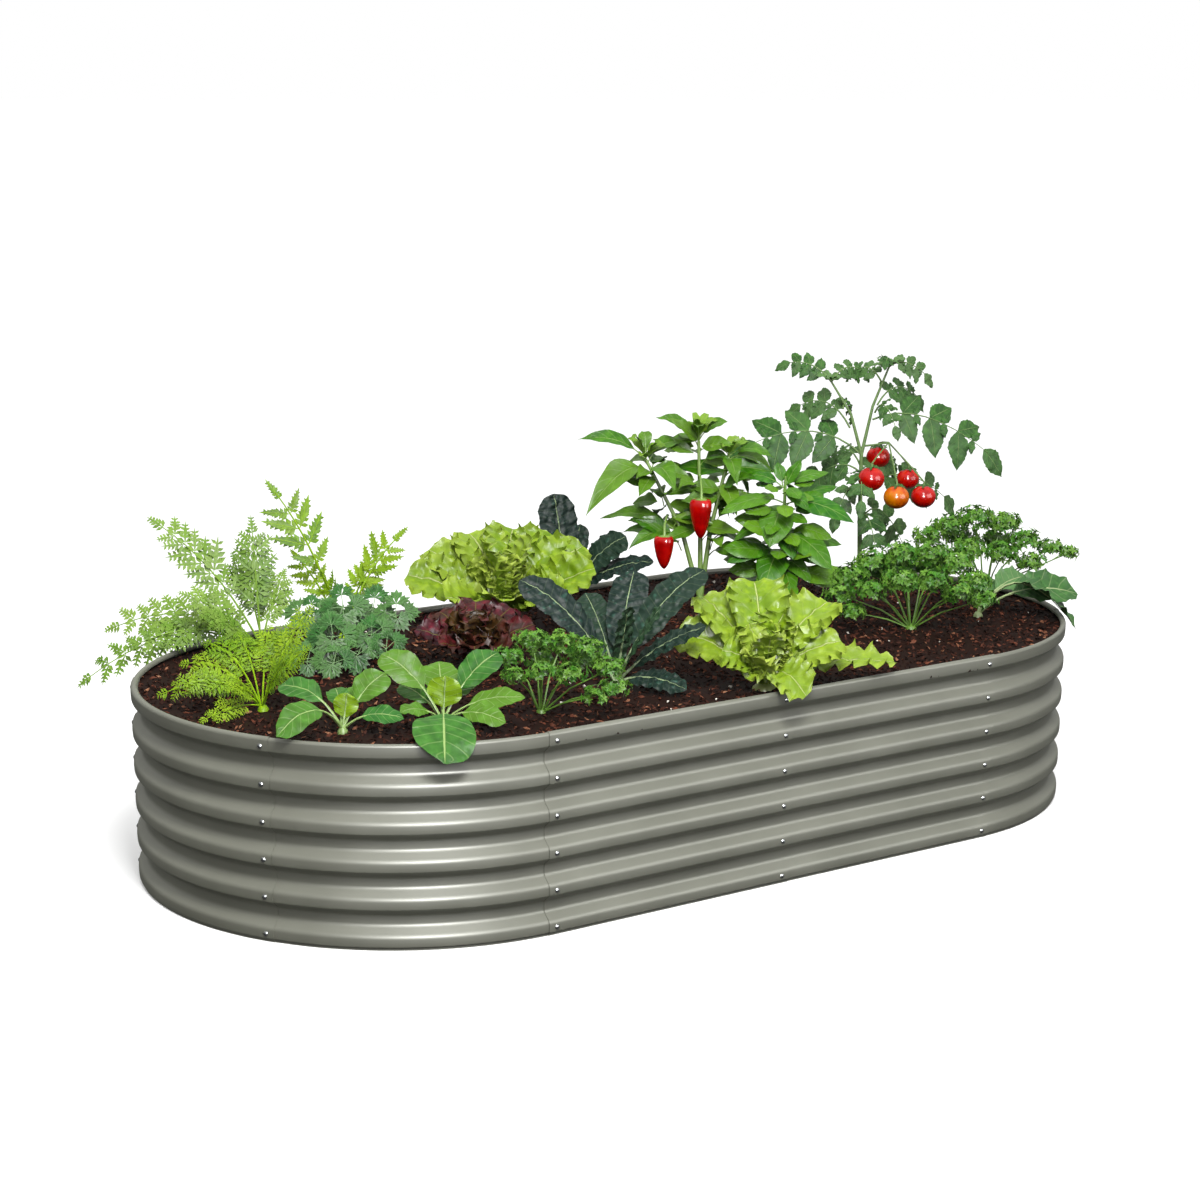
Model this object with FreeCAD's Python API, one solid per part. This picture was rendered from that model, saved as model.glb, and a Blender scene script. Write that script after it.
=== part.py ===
import FreeCAD, Part
import math
import os

# Oval raised garden bed of corrugated sheet metal, planted with vegetables and herbs.
# Millimetres. The origin is on the ground at the centre of the oval, +Z is up,
# the long axis is X and the front side faces -Y.

Vector = FreeCAD.Vector
UP = Vector(0, 0, 1)
OUT = Vector(1, 0, 0)

# --- the oval -------------------------------------------------------------------------
bed_radius = 609.6         # radius of the round ends, measured on the crests of the ribs
straight_length = 1219.2   # length of each straight side between the tangent lines
panels_per_side = 2        # straight panels in each side
panels_per_end = 3         # curved panels in each round end

# --- the rolled sheet, measured inward from the crest and upward from the ground ------
sheet = 0.8                # sheet thickness
rib_count = 6
rib_pitch = 81.0
rib_depth = 20.8
first_crease = 7.5         # height of the lowest crease, where a crest turns under
crest_centre = 10.5        # from a crease up to the middle of its crest
crest_width = 23.5         # from a crease up to where the crest turns in
slope_rise = 18.0          # height of the slope above a crest
flank_drop = 15.5          # height of the steep flank under a crease
crest_bulge = 0.8          # how far the middle of a crest stands out from its corners
crease_bend = 3.0
crest_bend = 80.0
shoulder_bend = 14.0
valley_low_bend = 12.0
valley_high_bend = 10.0
skirt_inset = 5.0          # the vertical skirt that stands on the ground
skirt_bend = 2.0
rim_rise = 30.2            # from the top crease up to the top of the rolled rim
rim_bend = 8.2
rim_flat = 0.4             # flat between the two bends of the rim
rim_lip = 2.0              # straight edge at the inner end of the roll

# --- laps and fasteners ---------------------------------------------------------------
lap_half = 19.0            # each sheet runs this far past the line of bolts
nest_step = 1.6            # how far the inner sheet of a lap is set in
bolt_shank = 6.0
bolt_hole_clearance = 0.5  # on the radius
bolt_length = 16.0
head_diameter = 11.0
head_height = 3.6
head_edge = 0.8            # straight edge under the dome of the head
washer_seat = 0.45         # the hollow of the crest keeps the flat washer off by this
washer_diameter = 12.0
washer_thickness = 1.2
nut_across_flats = 10.0
nut_thickness = 5.0
thread_clearance = 0.05    # on the radius, between the shank and the nut or washer
stack_gap = 0.05           # between a washer, the tie rod's tab and a nut

# --- tie rod across the middle --------------------------------------------------------
tie_row = 3                # which row of bolts holds it, counted from the ground
tie_diameter = 8.0
tie_offset = 24.0          # the rod stands this far beside the bolts that hold it
tab_margin = 9.0           # metal of the flat tab around the bolt and around the rod
tab_thickness = 3.0
tab_hole_clearance = 0.25

# --- soil -----------------------------------------------------------------------------
head_space = 17.7          # soil surface below the top of the rim
soil_gap = 1.5             # kept between the soil and the sheet
soil_pocket_gap = 2.0      # kept between the soil and the fasteners
seat_gap = 0.3             # plants start this far above the soil
hollow_pitch = 125.0       # shallow hollows between the plants, about this far apart
hollow_radius = 60.0
hollow_floor = 30.0        # radius of a hollow's flat floor
hollow_depth = 6.0
hollow_drift = 16.0        # how far a hollow strays from an even grid
hollow_margin = 45.0       # soil left level between a hollow and the sheet
level_round_plant = 42.0   # radius left level around each plant's root

# --- leaves ---------------------------------------------------------------------------
leaf_thickness = 1.6
frond_thickness = 1.6
stalk_thickness = 3.0
view_turn = -34.0          # plants are laid out across, away from and above this heading
blade_roll = 35.0          # blades that grow to the side tip their upper face to the front
root_height = 9.0          # stalks leave the crown of a plant at this height

rim_top = first_crease + (rib_count - 1) * rib_pitch + rim_rise
soil_top = rim_top - head_space
half_straight = straight_length / 2
side_panel = straight_length / panels_per_side
end_angle = 180.0 / panels_per_end
lap_angle = math.degrees(lap_half / bed_radius)
bolt_rows = [first_crease + crest_centre + row * rib_pitch for row in range(rib_count)]


# --- the section of the sheet ---------------------------------------------------------
def sheet_path(set_in=0.0, with_rim=True):
    # corners of the outer face, each as inset, height and bend radius, from the ground up;
    # a sheet that is set in at a lap has a smaller roll that fits inside its neighbour's
    steepness = flank_drop / (rib_depth - crest_bulge)
    corners = [(skirt_inset, 0, 0)]
    skirt_top = first_crease - (skirt_inset - crest_bulge) * steepness
    corners.append((skirt_inset, skirt_top, skirt_bend))
    for rib in range(rib_count):
        crease = first_crease + rib * rib_pitch
        corners.append((crest_bulge, crease, crease_bend))
        corners.append((0, crease + crest_centre, crest_bend))
        if rib < rib_count - 1:
            corners.append((crest_bulge, crease + crest_width, shoulder_bend))
            corners.append((rib_depth, crease + crest_width + slope_rise, valley_low_bend))
            corners.append((rib_depth, crease + rib_pitch - flank_drop, valley_high_bend))
    if with_rim:
        top = rim_top - set_in
        bend = rim_bend - set_in
        roll = 2 * bend + rim_flat
        corners.append((0, top, bend))
        corners.append((roll, top, bend))
        corners.append((roll, top - bend - rim_lip, 0))
    return corners


def offset_path(corners, distance):
    # the same corners moved sideways to the inner face
    points = [Vector(-inset, 0, height) for inset, height, bend in corners]
    moved = []
    for index, (inset, height, bend) in enumerate(corners):
        before = points[index] - points[index - 1] if index > 0 else None
        after = points[index + 1] - points[index] if index + 1 < len(points) else None
        before = before or after
        after = after or before
        before.normalize()
        after.normalize()
        normal_before = Vector(-before.z, 0, before.x)
        normal_after = Vector(-after.z, 0, after.x)
        middle = normal_before + normal_after
        middle.normalize()
        corner = points[index] + middle * (distance / middle.dot(normal_before))
        turn = before.x * after.z - before.z * after.x
        new_bend = bend - distance if turn > 0 else bend + distance
        moved.append((-corner.x, corner.z, new_bend if bend else 0))
    return moved


def bent_edges(corners, radius):
    # lines and arcs through the corners, in the X-Z plane at the given outer radius
    points = [Vector(radius - inset, 0, height) for inset, height, bend in corners]
    edges = []
    start = points[0]
    for index in range(1, len(points) - 1):
        bend = corners[index][2]
        arriving = points[index] - points[index - 1]
        leaving = points[index + 1] - points[index]
        arriving.normalize()
        leaving.normalize()
        turn = math.acos(max(-1.0, min(1.0, arriving.dot(leaving))))
        reach = bend * math.tan(turn / 2)
        first = points[index] - arriving * reach
        last = points[index] + leaving * reach
        inward = leaving - arriving
        inward.normalize()
        depth = bend / math.cos(turn / 2) - bend
        edges.append(Part.LineSegment(start, first).toShape())
        edges.append(Part.Arc(first, points[index] + inward * depth, last).toShape())
        start = last
    edges.append(Part.LineSegment(start, points[-1]).toShape())
    return edges


def sheet_wire(set_in):
    # the closed outline of the sheet, standing in the X-Z plane at the bed's radius
    radius = bed_radius - set_in
    outer = sheet_path(set_in)
    inner = offset_path(outer, sheet)
    ends = []
    for index in (0, -1):
        ends.append(Part.LineSegment(Vector(radius - outer[index][0], 0, outer[index][1]),
                                     Vector(radius - inner[index][0], 0, inner[index][1])))
    edges = bent_edges(outer, radius) + [ends[1].toShape()]
    edges += bent_edges(inner, radius)[::-1] + [ends[0].toShape()]
    return Part.Wire(Part.__sortEdges__(edges))


# --- seams: where the bolts stand and which way they point ----------------------------
def seam_frames():
    # each seam as a point on the crest at ground level and its outward direction
    seams = []
    for side in (-1, 1):
        for step in range(panels_per_side + 1):
            x = -half_straight + step * side_panel
            seams.append((Vector(x, side * bed_radius, 0), Vector(0, side, 0)))
    for end in (-1, 1):
        for step in range(1, panels_per_end):
            angle = math.radians(-90 + step * end_angle)
            outward = Vector(end * math.cos(angle), math.sin(angle), 0)
            centre = Vector(end * half_straight, 0, 0)
            seams.append((centre + outward * bed_radius, outward))
    return seams


def bolt_places():
    return [(foot + UP * height, outward)
            for foot, outward in seam_frames() for height in bolt_rows]


def is_tie_place(point):
    return abs(point.x) < 1 and abs(point.z - bolt_rows[tie_row]) < 1


def facing(shape, point, outward):
    # a copy of a shape that was made at the origin facing +X, turned and moved to its place
    placed = shape.copy()
    placed.rotate(Vector(0, 0, 0), UP, math.degrees(math.atan2(outward.y, outward.x)))
    placed.translate(point)
    return placed


def bolt_holes():
    radius = bolt_shank / 2 + bolt_hole_clearance
    hole = Part.makeCylinder(radius, 2 * bolt_length, Vector(-bolt_length, 0, 0), OUT)
    return [facing(hole, *place) for place in bolt_places()]


# --- panels ---------------------------------------------------------------------------
def curved_panel(end, position, set_in):
    # one sheet of a round end; position counts from the front, set_in is its nesting
    section = Part.Face(sheet_wire(set_in))
    start = -90 + position * end_angle - lap_angle
    sweep = end_angle + 2 * lap_angle
    panel = section.revolve(Vector(0, 0, 0), UP, sweep)
    panel.rotate(Vector(0, 0, 0), UP, start)
    if end < 0:
        panel = panel.mirror(Vector(0, 0, 0), Vector(1, 0, 0))
    panel.translate(Vector(end * half_straight, 0, 0))
    return panel


def straight_panel(side, position, set_in_left, set_in_right):
    # one sheet of a straight side; its two ends may nest differently
    near = sheet_wire(set_in_left)
    far = sheet_wire(set_in_right)
    for wire in (near, far):
        wire.rotate(Vector(0, 0, 0), UP, 90)
    far.translate(Vector(side_panel + 2 * lap_half, 0, 0))
    panel = Part.makeLoft([near, far], True, True)
    if side < 0:
        panel = panel.mirror(Vector(0, 0, 0), Vector(0, 1, 0))
    panel.translate(Vector(-half_straight + position * side_panel - lap_half, 0, 0))
    return panel


def bore(panel, holes):
    box = panel.BoundBox
    near = [hole for hole in holes if box.intersect(hole.BoundBox)]
    return panel.cut(Part.makeCompound(near)).Solids[0]


# --- fasteners, each made at the origin with its outer end facing +X -------------------
def bolt():
    shank = Part.makeCylinder(bolt_shank / 2, bolt_length, Vector(-bolt_length, 0, 0), OUT)
    edge = Part.makeCylinder(head_diameter / 2, head_edge, Vector(0, 0, 0), OUT)
    rise = head_height - head_edge
    dome_radius = ((head_diameter / 2) ** 2 + rise ** 2) / (2 * rise)
    ball = Part.makeSphere(dome_radius, Vector(head_height - dome_radius, 0, 0))
    keep = Part.makeCylinder(head_diameter / 2, rise, Vector(head_edge, 0, 0), OUT)
    return edge.fuse([ball.common(keep), shank])


def washer():
    inner = Vector(-nest_step - sheet - washer_seat - washer_thickness, 0, 0)
    disc = Part.makeCylinder(washer_diameter / 2, washer_thickness, inner, OUT)
    bore_radius = bolt_shank / 2 + thread_clearance
    return disc.cut(Part.makeCylinder(bore_radius, washer_thickness, inner, OUT))


def clamp_depth(tied):
    # how far inside the crest the face of the nut lies, with or without the tie rod's tab
    depth = nest_step + sheet + washer_seat + washer_thickness + stack_gap
    return depth + tab_thickness + stack_gap if tied else depth


def nut(tied):
    inner = Vector(-clamp_depth(tied) - nut_thickness, 0, 0)
    corner = nut_across_flats / math.sqrt(3)
    ring = []
    for step in range(7):
        angle = math.radians(60 * step)
        ring.append(inner + Vector(0, corner * math.cos(angle), corner * math.sin(angle)))
    body = Part.Face(Part.makePolygon(ring)).extrude(OUT * nut_thickness)
    bore_radius = bolt_shank / 2 + thread_clearance
    return body.cut(Part.makeCylinder(bore_radius, nut_thickness, inner, OUT))


def tie_rod():
    # a round rod whose flat tabs are held under the nuts of the two middle seams
    height = bolt_rows[tie_row]
    outer = bed_radius - clamp_depth(False)
    reach = outer - tab_thickness / 2
    rod_body = Part.makeCylinder(tie_diameter / 2, 2 * reach,
                                 Vector(tie_offset, -reach, height), Vector(0, 1, 0))
    for side in (-1, 1):
        face = side * outer - (tab_thickness if side > 0 else 0)
        tab = Part.makeBox(tie_offset + 2 * tab_margin, tab_thickness, 2 * tab_margin,
                           Vector(-tab_margin, face, height - tab_margin))
        hole = Part.makeCylinder(bolt_shank / 2 + tab_hole_clearance, tab_thickness,
                                 Vector(0, face, height), Vector(0, 1, 0))
        rod_body = rod_body.fuse(tab.cut(hole))
    return rod_body


# --- soil -----------------------------------------------------------------------------
def soil():
    # fills the bed up to the head space, and leaves room for the fasteners and the rod
    depth = nest_step + 2 * sheet + soil_gap
    side = [(inset + depth, height) for inset, height, bend in sheet_path(0, False)]
    side = [(inset, height) for inset, height in side if height < soil_top]
    side.append((depth, soil_top))
    half = [Vector(bed_radius - inset, 0, height) for inset, height in side]
    half = [Vector(0, 0, 0)] + half + [Vector(0, 0, soil_top), Vector(0, 0, 0)]
    section = Part.Face(Part.makePolygon(half))
    fill = []
    for end in (-1, 1):
        turned = section.copy()
        turned.rotate(Vector(0, 0, 0), UP, -90 if end > 0 else 90)
        cap = turned.revolve(Vector(0, 0, 0), UP, 180)
        cap.translate(Vector(end * half_straight, 0, 0))
        fill.append(cap)
    for side_sign in (-1, 1):
        strip = section.copy()
        strip.rotate(Vector(0, 0, 0), UP, 90 * side_sign)
        strip.translate(Vector(-half_straight, 0, 0))
        fill.append(strip.extrude(Vector(straight_length, 0, 0)))
    body = fill[0].fuse(fill[1:]).removeSplitter()
    pockets = []
    for point, outward in bolt_places():
        radius = washer_diameter / 2 + soil_pocket_gap
        if is_tie_place(point):
            radius = tie_offset + 2 * tab_margin
        pockets.append(Part.makeCylinder(radius, bolt_length + 2 * soil_pocket_gap, point,
                                         outward * -1))
    pockets.append(Part.makeCylinder(tie_diameter / 2 + soil_pocket_gap / 2, 2 * bed_radius,
                                     Vector(tie_offset, -bed_radius, bolt_rows[tie_row]),
                                     Vector(0, 1, 0)))
    return body.cut(Part.makeCompound(pockets + soil_hollows())).Solids[0]


def soil_hollows():
    # shallow six-sided hollows in the level surface, away from the sheet and the plants
    hollows = []
    columns = int((half_straight + bed_radius) / hollow_pitch) + 1
    rows = int(bed_radius / hollow_pitch) + 1
    for column in range(-columns, columns + 1):
        for row in range(-rows, rows + 1):
            x = (column + 0.5 * (row % 2)) * hollow_pitch
            x += hollow_drift * math.sin(2.3 * column + 4.1 * row)
            y = row * hollow_pitch + hollow_drift * math.cos(3.7 * column - 1.9 * row)
            beyond = max(0.0, abs(x) - half_straight)
            if math.hypot(beyond, y) > bed_radius - hollow_margin - hollow_radius:
                continue
            clear = level_round_plant + hollow_radius
            if min(math.hypot(x - px, y - py) for px, py in roots.values()) < clear:
                continue
            rings = [ring_of(Vector(x, y, soil_top + rise), radius, OUT, Vector(0, 1, 0), 6,
                             40 * column + 70 * row)
                     for rise, radius in ((-hollow_depth, hollow_floor), (0, hollow_radius))]
            lift = UP * hollow_depth
            rings.append([corner + lift for corner in rings[1]])
            hollows.append(between_rings(rings))
    return hollows


# --- leaves, in the plant's own frame: across, away, up -------------------------------
def arc_point(start, tip, arch, share):
    # a point on the curve from start to tip that rises to arch on its way
    knee = Vector(start.x + 0.4 * (tip.x - start.x), start.y + 0.4 * (tip.y - start.y), arch)
    return start * (1 - share) ** 2 + knee * (2 * share * (1 - share)) + tip * share ** 2


def strip(points, widths, across, drop):
    # a thin solid through the points, flat across and one thickness deep
    left = [point + across * (width / 2) for point, width in zip(points, widths)]
    right = [point - across * (width / 2) for point, width in zip(points, widths)]
    faces = []
    for index in range(len(points) - 1):
        quad = [left[index], left[index + 1], right[index + 1], right[index]]
        low = [corner + drop for corner in quad]
        faces.append(Part.Face(Part.makePolygon(quad + quad[:1])))
        faces.append(Part.Face(Part.makePolygon(low + low[:1])))
        for near, far in ((0, 1), (3, 2)):
            edge = [quad[near], quad[far], low[far], low[near]]
            faces.append(Part.Face(Part.makePolygon(edge + edge[:1])))
    for index in (0, -1):
        edge = [left[index], right[index], right[index] + drop, left[index] + drop]
        faces.append(Part.Face(Part.makePolygon(edge + edge[:1])))
    solid = Part.Solid(Part.Shell(faces))
    if solid.Volume < 0:
        solid.reverse()
    return solid


def across_of(start, tip):
    # the direction across a blade, rolled about the blade's own line; the ones that hang
    # over the rim stay level
    heading = Vector(tip.x - start.x, tip.y - start.y, 0)
    heading.normalize()
    level = Vector(-heading.y, heading.x, 0)
    if tip.z < 0:
        return level
    return FreeCAD.Rotation(tip - start, blade_roll * heading.x).multVec(level)


def downward(start, end, across, thickness):
    chord = end - start
    drop = across.cross(chord)
    drop.normalize()
    if drop.z > 0:
        drop = drop * -1
    return drop * thickness


def leaf(start, tip, width, arch, stalk=0.35, stalk_width=7.0):
    # a stalk and a broad blade on one arched line
    start = Vector(*start)
    tip = Vector(*tip)
    across = across_of(start, tip)
    solids = []
    if stalk > 0:
        points = [arc_point(start, tip, arch, stalk * share) for share in (0, 0.5, 1.04)]
        drop = downward(points[0], points[-1], across, stalk_thickness)
        solids.append(strip(points, [stalk_width] * 3, across, drop))
    shares = (0, 0.16, 0.4, 0.65, 0.86, 1)
    widths = (0.18, 0.66, 0.97, 1.0, 0.68, 0.12)
    points = [arc_point(start, tip, arch, stalk + (1 - stalk) * share) for share in shares]
    drop = downward(points[0], points[-1], across, leaf_thickness)
    solids.append(strip(points, [width * share for share in widths], across, drop))
    return solids


def between_rings(rings):
    # a closed solid through flat rings of corners that are parallel and alike
    faces = [Part.Face(Part.makePolygon(ring + ring[:1])) for ring in (rings[0], rings[-1])]
    for low, high in zip(rings, rings[1:]):
        for index in range(len(low)):
            after = (index + 1) % len(low)
            side = [low[index], low[after], high[after], high[index]]
            faces.append(Part.Face(Part.makePolygon(side + side[:1])))
    solid = Part.Solid(Part.Shell(faces))
    if solid.Volume < 0:
        solid.reverse()
    return solid


def ring_of(centre, radius, first, second, sides, twist=0.0):
    angles = [math.radians(twist) + 2 * math.pi * step / sides for step in range(sides)]
    return [centre + first * (radius * math.cos(a)) + second * (radius * math.sin(a))
            for a in angles]


def rod(start, end, thick, thin, sides=6):
    # a tapered stem
    start = Vector(*start)
    end = Vector(*end)
    along = end - start
    first = along.cross(Vector(0.31, 0.95, 0.07))
    first.normalize()
    second = along.cross(first)
    second.normalize()
    return between_rings([ring_of(start, thick / 2, first, second, sides),
                          ring_of(end, thin / 2, first, second, sides)])


def frond(start, tip, width, arch, pairs=6, stalk=0.35, stalk_width=5.0):
    # a stalk that ends in a flat feathered blade of paired leaflets
    start = Vector(*start)
    tip = Vector(*tip)
    across = across_of(start, tip)
    points = [arc_point(start, tip, arch, stalk * share) for share in (0, 0.5, 1)]
    drop = downward(points[0], points[-1], across, stalk_thickness)
    stem = strip(points, [stalk_width] * 3, across, drop)
    base = points[-1]
    along = tip - base
    length = along.Length
    along.normalize()
    outline = []
    spacing = length / (pairs + 0.8)
    for pair in range(pairs):
        near = spacing * (pair + 0.1)
        reach = width / 2 * math.sin(math.pi * (0.35 + 0.6 * pair / pairs))
        outline.append((near, stalk_width / 2))
        outline.append((near + 0.75 * spacing, reach))
        outline.append((near + 0.55 * spacing, stalk_width / 2))
    outline = [(-0.04 * length, stalk_width / 2)] + outline + [(length, 0)]
    outline += [(far, -side) for far, side in reversed(outline[:-1])]
    corners = [base + along * far + across * side for far, side in outline]
    blade = Part.Face(Part.makePolygon(corners + corners[:1]))
    drop = downward(base, tip, across, frond_thickness)
    return [stem, blade.extrude(drop)]


def tuft(centre, radius, twist, stem=4.0):
    # a curled cluster of leaflets on its own stem from the crown
    centre = Vector(*centre)
    flat = Vector(centre.x, centre.y, 0)
    flat.normalize()
    root = flat * stem + UP * 4
    rings = [ring_of(centre + UP * (rise * radius), radius * out, OUT, Vector(0, 1, 0), 7, twist)
             for out, rise in ((0.55, -0.42), (1.0, -0.04), (0.9, 0.26), (0.45, 0.5))]
    return [between_rings(rings), rod(root, centre, stem * 1.4, stem, 5)]


def spread(start, end, share):
    return tuple(a + (b - a) * share for a, b in zip(start, end))


def set_in_bed(shape, name):
    # turns a plant or its fruit to the view and sets it on the soil
    shape.rotate(Vector(0, 0, 0), UP, view_turn)
    shape.translate(Vector(*roots[name], soil_top + seat_gap))
    return shape


def planted(solids, name):
    return set_in_bed(solids[0].multiFuse(solids[1:]), name)


def crown(width, height):
    return rod((0, 0, 0), (0, 0, height), width, width * 0.66, 8)


# --- where the plants stand -----------------------------------------------------------
front_wall = -bed_radius
back_wall = bed_radius
left_end = -half_straight
right_end = half_straight
roots = {
    "spinach_small": (left_end - 343, front_wall + 287),
    "spinach_large": (left_end - 141, front_wall + 219),
    "kale_front": (left_end + 359, front_wall + 293),
    "kale_back": (left_end + 811, back_wall - 84),
    "lettuce_red": (left_end + 219, 48),
    "lettuce_green_back": (left_end + 506, 360),
    "lettuce_green_front": (left_end + 622, front_wall + 96),
    "chard": (right_end + 330, front_wall + 385),
    "carrot_front": (left_end - 389, -59),
    "carrot_tall": (left_end + 97, back_wall - 161),
    "chervil": (left_end - 141, back_wall - 194),
    "cilantro": (left_end - 64, 203),
    "parsley_front": (left_end + 95, front_wall + 201),
    "parsley_middle": (right_end + 98, front_wall + 379),
    "parsley_back": (right_end + 496, -77),
    "pepper": (left_end + 1102, 339),
    "basil": (right_end + 30, 193),
    "tomato": (right_end + 357, 255),
}


def rosette(leaves, crown_width, stalk=0.35, stalk_width=7.0):
    solids = [crown(crown_width, 14)]
    for right, away, up, width, arch in leaves:
        solids += leaf((0, 0, root_height), (right, away, up), width, arch, stalk,
                       stalk_width)
    return solids


def feathers(fronds, crown_width, pairs=6, stalk=0.35):
    solids = [crown(crown_width, 12)]
    for right, away, up, width, arch in fronds:
        solids += frond((0, 0, root_height), (right, away, up), width, arch, pairs, stalk)
    return solids


def bush(tufts, crown_width, stem=4.0):
    solids = [crown(crown_width, 12)]
    for count, (right, away, up, radius) in enumerate(tufts):
        solids += tuft((right, away, up), radius, 17 * count, stem)
    return solids


def spinach_small():
    leaves = [(-134, 30, 94, 54, 112), (87, 60, 115, 60, 96), (127, -10, 35, 44, 62),
              (-22, 95, 74, 40, 80), (14, -56, 66, 44, 50), (-124, -122, 26, 60, 112),
              (50, 112, 84, 44, 80)]
    return planted(rosette(leaves, 24), "spinach_small")


def spinach_large():
    leaves = [(-129, 50, 145, 66, 120), (116, 60, 146, 64, 120), (172, -20, 68, 48, 78),
              (132, -72, 28, 46, 62), (-95, 84, 70, 44, 70), (-88, -50, 44, 40, 58),
              (4, -60, 92, 70, 60), (-12, 120, 112, 66, 90), (12, -232, -16, 100, 168),
              (72, 134, 92, 50, 80)]
    return planted(rosette(leaves, 28), "spinach_large")


def kale_front():
    leaves = [(-214, 30, 238, 84, 190), (44, 150, 236, 88, 170), (200, 110, 246, 88, 200),
              (94, -70, 198, 64, 110), (196, -44, 150, 60, 110), (152, -84, 16, 66, 56),
              (24, -60, 196, 50, 110), (-66, 170, 180, 70, 130)]
    return planted(rosette(leaves, 34, 0.3, 9.0), "kale_front")


def kale_back():
    leaves = [(-37, 20, 276, 108, 170), (34, 60, 190, 64, 110), (150, -20, 172, 96, 130),
              (218, -84, 118, 84, 110), (20, -110, 150, 80, 110)]
    return planted(rosette(leaves, 34, 0.3, 9.0), "kale_back")


def lettuce_red():
    leaves = [(-136, 10, 82, 84, 70), (-84, 80, 108, 84, 90), (0, 110, 126, 88, 110),
              (82, 88, 116, 84, 90), (136, 16, 92, 84, 70), (-80, -74, 66, 80, 60),
              (80, -76, 58, 80, 60), (2, -104, 60, 84, 70), (-40, -20, 136, 70, 90),
              (42, -20, 132, 70, 90)]
    return planted(rosette(leaves, 40, 0.1, 16.0), "lettuce_red")


def lettuce_green_back():
    leaves = [(-240, 10, 126, 130, 110), (-190, 96, 172, 124, 140), (-90, 140, 206, 128, 170),
              (20, 150, 216, 130, 190), (120, 130, 204, 128, 170), (196, 84, 184, 124, 140),
              (222, -40, 152, 120, 110), (140, -124, 104, 124, 90), (0, -160, 96, 136, 90),
              (-140, -134, 98, 124, 90), (-60, -40, 226, 110, 150), (70, -30, 226, 110, 150)]
    return planted(rosette(leaves, 60, 0.1, 20.0), "lettuce_green_back")


def lettuce_green_front():
    leaves = [(-190, 66, 116, 112, 104), (-132, 128, 182, 120, 140), (-14, 150, 214, 130, 170),
              (150, 124, 172, 120, 140), (170, 20, 106, 108, 92), (-96, -14, 92, 100, 86),
              (-44, -44, 36, 70, 60), (82, -112, 12, 96, 92), (300, 86, 42, 76, 80),
              (40, 10, 170, 100, 120)]
    return planted(rosette(leaves, 56, 0.1, 20.0), "lettuce_green_front")


def chard():
    leaves = [(252, 24, 56, 78, 104), (238, -40, -20, 92, 190), (140, 90, 86, 58, 100),
              (60, 110, 74, 46, 80)]
    return planted(rosette(leaves, 26, 0.4, 9.0), "chard")


def carrot_front():
    fronds = [(-216, 0, 38, 84, 92), (-176, 80, 86, 84, 110), (-128, 100, 126, 84, 130),
              (-64, 120, 140, 80, 130), (4, 130, 152, 80, 130), (48, 90, 164, 76, 120),
              (100, 40, 212, 80, 140), (-160, -50, 72, 80, 90), (-112, -128, 12, 66, 36),
              (-60, -90, 72, 70, 70), (60, -80, 130, 70, 80), (96, -20, 140, 70, 100)]
    return planted(feathers(fronds, 26), "carrot_front")


def carrot_tall():
    fronds = [(-156, 20, 356, 136, 230), (134, 30, 246, 116, 170), (-118, 90, 190, 90, 130),
              (70, 96, 172, 90, 120), (-40, -90, 180, 80, 100)]
    return planted(feathers(fronds, 26, 5, 0.42), "carrot_tall")


def chervil():
    fronds = [(-430, 10, -70, 116, 130), (-360, 60, 52, 116, 150), (-240, 60, 300, 120, 210),
              (-156, -50, 150, 100, 110), (-62, 84, 206, 100, 150), (-20, 50, 290, 110, 170),
              (40, 104, 166, 90, 110), (-110, -104, 112, 90, 80), (-300, -40, 30, 100, 110)]
    return planted(feathers(fronds, 30, 6, 0.35), "chervil")


def cilantro():
    tufts = [(-58, -70, 38, 34), (4, -90, 40, 34), (58, -64, 54, 34), (-84, -16, 78, 34),
             (0, -44, 90, 38), (88, -34, 94, 34), (-58, 30, 126, 34), (20, 20, 146, 38),
             (86, 40, 132, 36), (140, 16, 124, 34), (122, -60, 66, 28), (40, 84, 110, 36),
             (-30, 84, 100, 36)]
    return planted(bush(tufts, 24), "cilantro")


def parsley_front():
    tufts = [(-66, 10, 122, 30), (-18, 30, 150, 34), (44, 40, 144, 36), (100, 30, 130, 34),
             (146, -6, 98, 32), (156, -40, 62, 28), (60, -50, 98, 32), (2, 84, 100, 32),
             (84, 90, 96, 30), (-56, -40, 90, 26), (112, -64, 52, 26), (0, -60, 104, 28)]
    return planted(bush(tufts, 22), "parsley_front")


def parsley_middle():
    tufts = [(-176, 0, 86, 34), (-146, 40, 124, 40), (-88, 60, 154, 42), (-20, 60, 174, 44),
             (50, 50, 176, 42), (108, 40, 154, 42), (154, 10, 116, 38), (168, -24, 78, 32),
             (-108, -50, 104, 36), (-40, -66, 134, 38), (38, -74, 134, 38), (104, -60, 98, 34),
             (-70, 120, 130, 40), (0, 136, 134, 38), (70, 120, 130, 40), (-150, -44, 52, 26)]
    return planted(bush(tufts, 30), "parsley_middle")


def parsley_back():
    tufts = [(-146, 30, 158, 38), (-100, 20, 192, 36), (-30, 40, 206, 42), (40, 40, 194, 42),
             (98, 10, 154, 38), (166, 10, 136, 26), (208, -10, 126, 22), (-60, -60, 142, 40),
             (28, -64, 134, 40), (106, -50, 108, 32), (-118, -66, 104, 34), (-50, 100, 150, 36),
             (40, 104, 140, 36)]
    return planted(bush(tufts, 28), "parsley_back")


pepper_left = (-146, 10, 366)
pepper_middle = (-10, 20, 412)
pepper_right = (68, 20, 372)


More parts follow.
